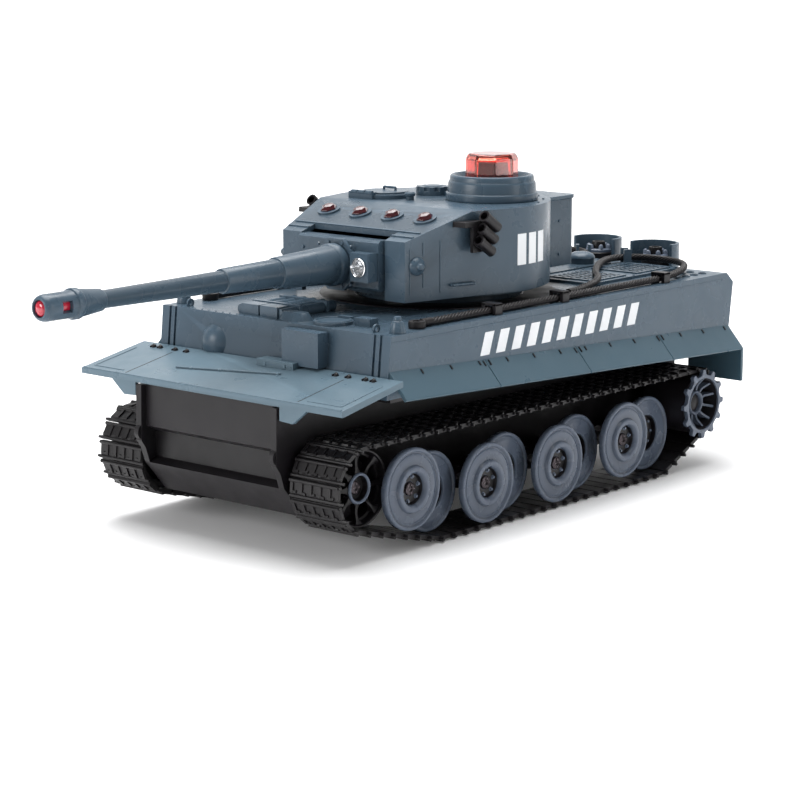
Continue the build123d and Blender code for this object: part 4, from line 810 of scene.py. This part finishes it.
def build_exhausts():
    softened("exhaust_shrouds", "hull", PAINT, 0.2)
    top = corners("exhaust_mufflers")[1].z - 0.05
    shape = bmesh.new()
    crown = bmesh.new()
    for side in (1, -1):
        centre = Vector((side * 12.4, 133.1, 0))
        lathe(shape, [(46.0, 0.02), (46.0, 4.9), (66.0, 4.9), (66.4, 4.5), (66.4, 0.02)], centre, UP, 64)
        for z in (50.0, 60.5):
            lathe(shape, [(z, 4.85), (z, 5.15), (z + 1.2, 5.15), (z + 1.2, 4.85)], centre, UP, 48)
        block(shape, (side * 12.4 - 7.0, 129.2, 52.0), (side * 12.4 + 7.0, 130.9, 58.0))
        # light ring of studs round the pipe's mouth
        lathe(crown, [(66.3, 2.6), (66.3, 4.6), (67.1, 4.6), (67.5, 4.2), (67.5, 3.0), (67.1, 2.6)],
              centre, UP, 48)
        for k in range(6):
            angle = math.radians(60 * k + 20)
            arm = Vector((math.cos(angle), math.sin(angle), 0))
            lathe(crown, [(67.3, 0.02), (67.3, 0.95), (68.6, 0.75), (69.0, 0.4), (69.1, 0.02)],
                  centre + arm * 3.6, UP, 14)
        lathe(shape, [
            (66.2, 0.02), (66.2, 2.65), (68.9, 2.5), (top, 2.2), (top, 1.5), (67.4, 1.4), (67.4, 0.02),
        ], centre, UP, 32)
    finish_piece(shape, "muffler_cans", "hull", TRIM, ("exhaust_mufflers",), 0.12, 50)
    finish_piece(crown, "muffler_studs", "hull", WHEEL, sharp=40)


# ---------------------------------------------------------------- tow cables
CABLE_R = 1.25
CABLE_X = 42.9


def cable_route(deck):
    """Control points of the left cable: along the deck's edge, round the rear deck and back."""
    low, high = deck + 1.31, deck + 2.71
    return [
        (CABLE_X, -31.0, low), (CABLE_X, 20.0, low), (CABLE_X - 0.05, 70.0, low), (CABLE_X, 97.0, low),
        (39.9, 111.5, high), (31.2, 121.6, high), (20.5, 124.3, high), (11.6, 123.6, high),
        (5.9, 116.4, high), (9.5, 103.5, high), (23.0, 82.0, high), (31.9, 72.6, high - 0.15),
        (36.9, 61.0, low + 0.5), (39.0, 46.0, low),
    ]


def spline_points(points):
    """Points along the smooth line that a route's control points draw."""
    curve = bpy.data.curves.new("route", "CURVE")
    curve.dimensions = "3D"
    curve.resolution_u = 24
    spline = curve.splines.new("NURBS")
    spline.points.add(len(points) - 1)
    for point, place in zip(spline.points, points):
        point.co = (*place, 1.0)
    spline.order_u = 3
    spline.use_endpoint_u = True
    holder = bpy.data.objects.new("route", curve)
    mesh = bpy.data.meshes.new_from_object(holder)
    line = [vert.co.copy() for vert in mesh.vertices]
    bpy.data.meshes.remove(mesh)
    bpy.data.objects.remove(holder)
    bpy.data.curves.remove(curve)
    return line


def evenly(line, step):
    """The same line with points at an even spacing."""
    lengths = [0.0]
    for first, second in zip(line, line[1:]):
        lengths.append(lengths[-1] + (second - first).length)
    count = int(lengths[-1] / step)
    places = []
    index = 0
    for k in range(count + 1):
        along = lengths[-1] * k / count
        while index < len(line) - 2 and lengths[index + 1] < along:
            index += 1
        part = (along - lengths[index]) / (lengths[index + 1] - lengths[index])
        places.append(line[index].lerp(line[index + 1], part))
    return places


def swept(shape, line, radius, sides, offset=0.0, phase=0.0, turns_per_mm=0.0):
    """A round tube along a line, or a strand that winds about it at an offset."""
    up = Vector((0, 0, 1))
    rings = []
    travelled = 0.0
    for index, place in enumerate(line):
        ahead = line[min(index + 1, len(line) - 1)] - line[max(index - 1, 0)]
        ahead.normalize()
        across = ahead.cross(up).normalized()
        over = across.cross(ahead)
        if index:
            travelled += (place - line[index - 1]).length
        turn = phase + 2 * math.pi * turns_per_mm * travelled
        middle = place + (across * math.cos(turn) + over * math.sin(turn)) * offset
        rings.append([
            shape.verts.new(middle + (across * math.cos(a) + over * math.sin(a)) * radius)
            for a in (2 * math.pi * k / sides for k in range(sides))
        ])
    skin(shape, rings)
    cap(shape, rings)


def build_cables():
    shape = bmesh.new()
    for side in (1, -1):
        line = evenly(spline_points([(side * x, y, z) for x, y, z in cable_route(DECK_Z)]), 0.42)
        swept(shape, line, 0.75, 8)
        strands = 6
        for k in range(strands):
            swept(shape, line, 0.47, 7, 0.74, 2 * math.pi * k / strands, 1 / 9.5)
        # thimble and its crimped sleeve at the front end, and the sleeve at the other
        eye = Vector((side * CABLE_X, -33.4, DECK_Z + 1.15))
        lathe(shape, [(-1.05, 1.25), (1.05, 1.25), (1.05, 2.5), (0.7, 2.6), (-0.7, 2.6), (-1.05, 2.5)],
              eye, UP, 40)
        sleeve = Vector((side * CABLE_X, -31.4, DECK_Z + 1.31))
        tube(shape, sleeve, sleeve + Vector((0, 4.4, 0)), CABLE_R, sides=20)
        tube(shape, line[-1], line[-8], CABLE_R, sides=20)
    finish_piece(shape, "braided_cables", "hull", ROPE, ("tow_cables",), sharp=60)


# ---------------------------------------------------------------- turret
# bearing of the turret's flat cheeks: from the front corner, tangent to the round rear
CHEEK = math.asin(TURRET_R / math.hypot(25.3, 46.3)) - math.atan2(25.3, 46.3)


def build_turret():
    softened("turret_shell", "turret", PAINT, 0.32)
    roof = corners("cupola")[0].z
    shape = bmesh.new()
    # hatch: dished lid, hinge and handle
    hatch = Vector((-17.0, 21.0, roof))
    lathe(shape, [(1.1, 8.1), (1.1, 8.8), (1.5, 8.6), (1.5, 8.2)], hatch, UP, 64)
    for k in range(3):
        x = hatch.x - 6.0 + k * 3.1
        tube(shape, (x, hatch.y - 9.2, roof + 2.0), (x + 2.6, hatch.y - 9.2, roof + 2.0), 0.75)
    left, right = hatch + Vector((-2.5, 2.5, 0)), hatch + Vector((2.5, 2.5, 0))
    tube(shape, left + Vector((0, 0, 2.9)), right + Vector((0, 0, 2.9)), 0.4, sides=14)
    for post in (left, right):
        tube(shape, post + Vector((0, 0, 1.8)), post + Vector((0, 0, 3.0)), 0.4, sides=14)
    # lifting knob beside the hatch
    lathe(shape, [(0.0, 0.02), (0.0, 1.3), (1.1, 1.3), (1.3, 1.7), (2.0, 1.8), (2.5, 1.4), (2.6, 0.02)],
          (-4.5, 19.0, roof), UP, 40)
    # raised middle of the ventilator
    lathe(shape, [(2.7, 0.02), (2.7, 3.4), (3.0, 3.2), (3.1, 2.6), (3.1, 0.02)], (-9.5, 36.5, roof), UP, 48)
    # screws along the roof's rear rim
    for k in range(9):
        angle = math.radians(20 + 17.5 * k)
        bolt(shape, (33.6 * math.cos(angle), TURRET_Y + 33.6 * math.sin(angle), roof), UP, 0.42, 0.3, 10)
    # side walls: a grab bar at the foot, panel lines round the pistol port and a line on the front cheek
    for side in (1, -1):
        wall = Vector((side * 25.3, -18.3, 0))
        along = Vector((side * math.sin(CHEEK), math.cos(CHEEK), 0))
        outward = Vector((side * math.cos(CHEEK), -math.sin(CHEEK), 0))
        seams = ((6.6, 72.6, 77.6), (6.6, 82.0, 86.4), (1.6, 70.6, 84.6), (13.0, 70.6, 86.6))
        for run, low_z, high_z in seams:
            foot = wall + along * run
            low, high = foot + Vector((0, 0, low_z)), foot + Vector((0, 0, high_z))
            prism(shape, [low, low + along * 0.35, high + along * 0.35, high], outward * 0.22)
        # domed cover with its pin over the pistol port
        lathe(shape, [
            (0.0, 0.02), (0.0, 2.9), (0.8, 2.65), (1.5, 1.95), (1.75, 1.3), (2.5, 1.15), (2.9, 0.8),
            (3.0, 0.02),
        ], wall + along * 4.4 + Vector((0, 0, 79.3)), outward, 40)
        bar = wall + outward * 1.2 + Vector((0, 0, 72.6))
        tube(shape, bar + along * 17.0, bar + along * 25.5, 0.45, sides=14)
        for run in (17.0, 25.5):
            tube(shape, bar + along * run - outward * 1.6, bar + along * run, 0.45, sides=14)
    finish_piece(shape, "turret_fittings", "turret", PAINT, bevel=0.08)


def curved_bar(shape, start, end, low, high):
    """A printed bar on the turret's round side, between two bearings in degrees."""
    centre = Vector((0, TURRET_Y, 0))
    radius, thick, steps = TURRET_R + 0.01, 0.05, 6
    rings = []
    for k in range(steps + 1):
        angle = math.radians(start + (end - start) * k / steps)
        arm = Vector((math.cos(angle), math.sin(angle), 0))
        rings.append([
            shape.verts.new(centre + arm * r + Vector((0, 0, z)))
            for r, z in ((radius, low), (radius + thick, low), (radius + thick, high), (radius, high))
        ])
    skin(shape, rings)
    cap(shape, rings)


def build_turret_marks():
    """Plain white bars in place of printed marks, on both rounded sides."""
    shape = bmesh.new()
    for mirror in (1, -1):
        for k in range(3):
            start = -7.0 + k * 8.6
            ends = (start, start + 6.4) if mirror == 1 else (180 - start, 180 - start - 6.4)
            curved_bar(shape, *ends, 76.6, 86.4)
    finish_piece(shape, "turret_marks", "turret", WHITE)


def build_cupola():
    low, high = corners("cupola")
    seat = Vector(((low.x + high.x) / 2, (low.y + high.y) / 2, low.z - 0.02))
    shape = bmesh.new()
    lathe(shape, [
        (0.02, 4.2), (0.02, 14.6), (0.5, 14.9), (2.0, 14.9), (2.4, 14.7), (2.6, 14.3), (5.4, 14.1),
        (6.0, 13.8), (6.2, 13.6), (7.4, 13.5), (7.9, 13.25), (8.1, 12.9), (8.1, 12.4), (7.8, 12.0),
        (6.6, 11.0), (5.4, 10.2), (5.2, 9.9), (5.2, 4.2),
    ], seat, UP, 128)
    finish_piece(shape, "cupola_ring", "turret", PAINT, ("cupola",), 0.08, 45)


def build_beacon():
    low, high = corners("beacon_dome")
    seat = Vector(((low.x + high.x) / 2, (low.y + high.y) / 2, low.z))
    height = high.z - low.z
    shape = bmesh.new()
    sides = 8
    outer, inner = 8.65, 7.4
    profile = [
        (0.0, outer), (height * 0.82, outer * 0.985), (height * 0.97, outer * 0.90), (height, outer * 0.84),
    ]
    inside = [(height - 1.3, inner * 0.82), (height * 0.78, inner * 0.97), (0.0, inner)]
    rings = []
    for z, radius in profile + inside:
        rings.append([
            shape.verts.new(seat + Vector((math.cos(a) * radius, math.sin(a) * radius, z)))
            for a in (2 * math.pi * k / sides for k in range(sides))
        ])
    # the wall runs down inside, across the foot and up outside; both tops are closed
    rings = rings[len(profile):] + rings[:len(profile)]
    skin(shape, rings)
    cap(shape, rings)
    finish_piece(shape, "beacon_lens", "turret", DOME_RED, ("beacon_dome",), 0.3, 20, sharp=20)
    # dark receiver head that shows through the lens
    dress("signal_receiver", BLACK)


# six-sided hit light: height, radius and turn of each ring
LENS_RINGS = [
    (-2.0, 2.2, 0), (0.0, 2.2, 0), (0.0, 2.75, 0), (0.3, 2.75, 0), (1.25, 1.95, 30), (1.65, 0.85, 0),
]


def build_lenses():
    slope = math.atan(ROOF_SLOPE)
    up = Vector((0, -math.sin(slope), math.cos(slope)))
    ahead = Vector((0, math.cos(slope), math.sin(slope)))
    shape = bmesh.new()
    for x in (-19.95, -6.65, 6.65, 19.95):
        foot = Vector((x, -2.5, 86.9 + (-2.5 + 18.3) * ROOF_SLOPE)) + up * 0.62
        rings = []
        for height, radius, turn in LENS_RINGS:
            spokes = [
                Vector((math.cos(a), 0, 0)) + ahead * math.sin(a)
                for a in (math.radians(60 * k + turn) for k in range(6))
            ]
            rings.append([shape.verts.new(foot + up * height + spoke * radius) for spoke in spokes])
        skin(shape, rings)
        cap(shape, rings)
    finish_piece(shape, "hit_light_lenses", "turret", RED, ("hit_lenses",), 0.08, 12, sharp=10)


def build_bin():
    softened("stowage_bin", "turret", PAINT, 0.35)
    low, high = corners("stowage_bin")
    shape = bmesh.new()
    for x in (-12.0, 12.0):
        # lid hinges and clasps on the rear wall
        block(shape, (x - 1.3, high.y - 1.0, high.z - 4.6), (x + 1.3, high.y - 0.1, high.z - 0.9))
        hinge = Vector((x, high.y - 0.55, high.z - 1.1))
        tube(shape, hinge - Vector((1.6, 0, 0)), hinge + Vector((1.6, 0, 0)), 0.5, sides=16)
    for x in (-10.0, 0.0, 10.0):
        block(shape, (x - 0.6, high.y - 0.9, low.z + 2.0), (x + 0.6, high.y - 0.15, low.z + 14.0))
    for side in (1, -1):
        for z in (low.z + 4.0, low.z + 15.0):
            bolt(shape, (side * 20.0, 66.0, z), (side, 0, 0), 0.6, 0.4)
    finish_piece(shape, "bin_fittings", "turret", PAINT, bevel=0.1)


def build_dischargers():
    softened("smoke_dischargers", "turret", TRIM, 0.12)


# ---------------------------------------------------------------- gun
GUN_Z = 78.5
BARREL = [
    (14.3, 1.2), (14.3, 4.98), (22.15, 4.98), (22.15, 6.4), (22.4, 6.6), (24.4, 6.6), (24.9, 6.45),
    (25.4, 6.0), (48.2, 4.78), (48.6, 4.65), (48.8, 4.32), (70.9, 3.76), (71.3, 3.6), (71.5, 3.18),
    (117.9, 2.56), (118.3, 2.7), (119.0, 3.2), (127.2, 4.08), (127.5, 4.35), (127.8, 4.45), (129.3, 4.45),
    (129.6, 4.35), (129.9, 4.0), (131.2, 3.86), (138.7, 3.85), (139.5, 3.75), (140.3, 3.45),
    (140.8, 3.05), (140.9, 2.8), (140.9, 2.5), (129.0, 2.5), (129.0, 1.2),
]


def barrel_wall(shape, window_low, window_high, window_half):
    """The barrel's turned wall, with its two side windows left open through the muzzle brake."""
    segments = 96
    profile = []
    for first, second in zip(BARREL, BARREL[1:] + BARREL[:1]):
        profile.append(first)
        for cut in sorted((window_low, window_high), reverse=first[0] > second[0]):
            if min(first[0], second[0]) < cut < max(first[0], second[0]):
                part = (cut - first[0]) / (second[0] - first[0])
                profile.append((cut, first[1] + (second[1] - first[1]) * part))
    rings = []
    for along, radius in profile:
        rings.append([
            shape.verts.new((radius * math.cos(a), -along, GUN_Z + radius * math.sin(a)))
            for a in (2 * math.pi * k / segments for k in range(segments))
        ])
    for index in range(len(rings)):
        after = (index + 1) % len(rings)
        first, second = rings[index], rings[after]
        middle = (profile[index][0] + profile[after][0]) / 2
        thin = window_low < middle < window_high
        for k in range(segments):
            n = (k + 1) % segments
            bearing = 360 * (k + 0.5) / segments
            away = min(abs(bearing - 180 * turn) for turn in (0, 1, 2))
            if thin and away < window_half:
                continue
            shape.faces.new((first[k], first[n], second[n], second[k]))
    open_edges = [edge for edge in shape.edges if len(edge.link_faces) == 1]
    bmesh.ops.bridge_loops(shape, edges=[e for e in open_edges if e.verts[0].co.x > 0])
    open_edges = [edge for edge in shape.edges if len(edge.link_faces) == 1]
    bmesh.ops.bridge_loops(shape, edges=open_edges)


def build_gun():
    shape = bmesh.new()
    barrel_wall(shape, 131.8, 135.4, 27.0)
    finish_piece(shape, "gun_tube", "gun", PAINT, ("gun_barrel",), sharp=30)
    shape = bmesh.new()
    lathe(shape, [
        (129.6, 0.02), (129.6, 2.42), (139.4, 2.42), (140.2, 2.2), (140.7, 1.7), (140.95, 0.9), (141.0, 0.02),
    ], (0, 0, GUN_Z), AHEAD, 64)
    finish_piece(shape, "muzzle_light", "gun", MUZZLE_RED, ("muzzle_lens",), sharp=40)
    softened("mantlet", "gun", PAINT, 0.3)
    shape = bmesh.new()
    for x in (-6.6, 6.6):
        for z in (-5.9, 5.9):
            bolt(shape, (x, -22.1, GUN_Z + z), AHEAD, 0.6, 0.4)
    for x in (-14.6, 14.6):
        for z in (74.6, 82.6):
            if x < 0 or z < 74:
                bolt(shape, (x, -20.5, z), AHEAD, 0.7, 0.45)
    # gunner's sight holes
    for x in (-10.6, -12.8):
        lathe(shape, [(-0.2, 0.6), (0.45, 0.6), (0.45, 1.0), (-0.2, 1.0)], (x, -20.5, 81.0), AHEAD, 24)
    finish_piece(shape, "mantlet_bolts", "gun", PAINT, bevel=0.06)
    # lamp: plated bowl behind a clear lens
    at = Vector((12.6, -24.9, 78.8))
    shape = bmesh.new()
    lathe(shape, [
        (-1.9, 0.02), (-1.8, 0.9), (-1.3, 1.7), (-0.4, 2.3), (0.55, 2.62), (0.75, 2.8), (0.7, 3.0),
        (0.2, 3.0), (0.1, 2.7), (-2.0, 2.7), (-2.1, 0.02),
    ], at, AHEAD, 64)
    lathe(shape, [(-1.8, 0.02), (-1.8, 0.7), (-1.0, 0.7), (-0.7, 0.5), (-0.6, 0.02)], at, AHEAD, 24)
    finish_piece(shape, "lamp_bowl", "gun", BRIGHT, ("front_lamp",), sharp=40)
    shape = bmesh.new()
    lathe(shape, [(0.15, 0.02), (0.15, 2.35), (0.5, 2.4), (0.75, 1.9), (0.9, 0.9), (0.95, 0.02)],
          at, AHEAD, 48)
    finish_piece(shape, "lamp_lens", "gun", GLASS, sharp=50)


def build_headlamps():
    low, high = corners("headlamps")
    middle = (low.y + high.y) / 2
    shape = bmesh.new()
    for side in (1, -1):
        lathe(shape, [
            (0.0, 0.02), (0.0, 2.4), (0.5, 2.45), (3.2, 1.72), (3.5, 1.55), (3.65, 1.15), (4.6, 1.12),
            (4.85, 0.9), (4.95, 0.02),
        ], (side * (high.x - 2.5), middle, low.z), UP, 48)
    finish_piece(shape, "headlamp_cones", "hull", PAINT, ("headlamps",), sharp=40)


# ---------------------------------------------------------------- pieces that keep their CAD shape
def build_inside():
    finishes = {
        "turret_base": PAINT, "turret_pinion": NYLON, "turret_motor": STEEL, "hull_screws": SCREW,
        "wheel_axles": STEEL, "gearboxes": NYLON, "drive_motors": STEEL, "battery_pack": SLEEVE,
        "circuit_board": BOARD, "speaker": BLACK, "power_switch": BLACK,
    }
    for name in SIDES:
        finishes["drive_shaft_" + name] = NYLON
        finishes["motor_pinion_" + name] = BRASS
    for node, material in finishes.items():
        dress(node, material)


# ---------------------------------------------------------------- stage, light and camera
CAMERA_PITCH, CAMERA_BEARING = 11.0, 40.7      # degrees: looking down, and turned from the tank's front


def area_light(name, at, target, size, watts):
    light = bpy.data.lights.new(name, "AREA")
    light.shape = "RECTANGLE"
    light.size, light.size_y = size
    light.energy = watts
    obj = bpy.data.objects.new(name, light)
    obj.location = at
    obj.rotation_euler = (Vector(target) - Vector(at)).to_track_quat("-Z", "Y").to_euler()
    bpy.context.scene.collection.objects.link(obj)


def build_stage():
    # one sheet: flat floor that curves up behind
    shape = bmesh.new()
    path = [(-4.0, 0.0)] + [
        (2.0 + 1.2 * math.sin(a), 1.2 - 1.2 * math.cos(a)) for a in (math.pi / 2 * k / 10 for k in range(11))
    ] + [(3.2, 5.0)]
    rows = [[shape.verts.new((x, y, z)) for x in (-6.0, 6.0)] for y, z in path]
    for first, second in zip(rows, rows[1:]):
        shape.faces.new((first[0], first[1], second[1], second[0]))
    facing = Matrix.Rotation(math.radians(CAMERA_BEARING), 3, "Z")
    bmesh.ops.rotate(shape, verts=shape.verts, cent=(0, 0, 0), matrix=facing)
    mesh = bpy.data.meshes.new("floor")
    shape.to_mesh(mesh)
    shape.free()
    mesh.shade_smooth()
    material, tree, shader = new_material("studio paper")
    paper = add_range(tree, add_noise(tree, 3.0, 2.0), 0.3, 0.7, 0.0, 1.0)
    tint = add_mix(tree, paper, (0.86, 0.86, 0.865), (0.89, 0.89, 0.895))
    tree.links.new(tint, shader.inputs["Base Color"])
    shader.inputs["Roughness"].default_value = 0.75
    # the sheet glows more and more away from the tank, so that it ends in plain white
    place = tree.nodes.new("ShaderNodeTexCoord")
    reach = tree.nodes.new("ShaderNodeVectorMath")
    reach.operation = "LENGTH"
    tree.links.new(place.outputs["Object"], reach.inputs[0])
    shader.inputs["Emission Color"].default_value = (1.0, 1.0, 1.0, 1.0)
    glow = add_range(tree, reach.outputs["Value"], 0.20, 0.60, 0.04, 0.55)
    tree.links.new(glow, shader.inputs["Emission Strength"])
    mesh.materials.append(material)
    floor = bpy.data.objects.new("floor", mesh)
    bpy.context.scene.collection.objects.link(floor)

    world = bpy.data.worlds.new("studio")
    world.use_nodes = True
    world.node_tree.nodes["Background"].inputs["Color"].default_value = (1.0, 1.0, 1.0, 1.0)
    world.node_tree.nodes["Background"].inputs["Strength"].default_value = 0.31
    bpy.context.scene.world = world
    area_light("overhead", (-0.15, 0.15, 1.1), (0, 0.0, 0), (0.9, 1.1), 22.0)
    area_light("front", (-0.45, -1.2, 0.45), (0, -0.05, 0.05), (0.6, 0.5), 9.0)
    area_light("right", (1.2, 0.35, 0.35), (0.05, 0, 0.04), (0.4, 0.8), 3.0)


def build_camera():
    data = bpy.data.cameras.new("camera")
    data.lens = 106.4
    data.sensor_width = 36.0
    data.clip_start = 0.01
    camera = bpy.data.objects.new("camera", data)
    camera.location = (0.4862, -0.5564, 0.1763)
    camera.rotation_euler = (math.radians(90 - CAMERA_PITCH), 0.0, math.radians(CAMERA_BEARING))
    bpy.context.scene.collection.objects.link(camera)
    bpy.context.scene.camera = camera
    bpy.context.scene.view_settings.view_transform = "Standard"


build_wheels()
build_wheel_screws()
build_tracks()
build_hull()
build_fender()
build_skirts()
build_tub()
build_engine_deck()
build_exhausts()
build_cables()
build_turret()
build_turret_marks()
build_cupola()
build_beacon()
build_lenses()
build_bin()
build_dischargers()
build_gun()
build_headlamps()
build_inside()
build_stage()
build_camera()
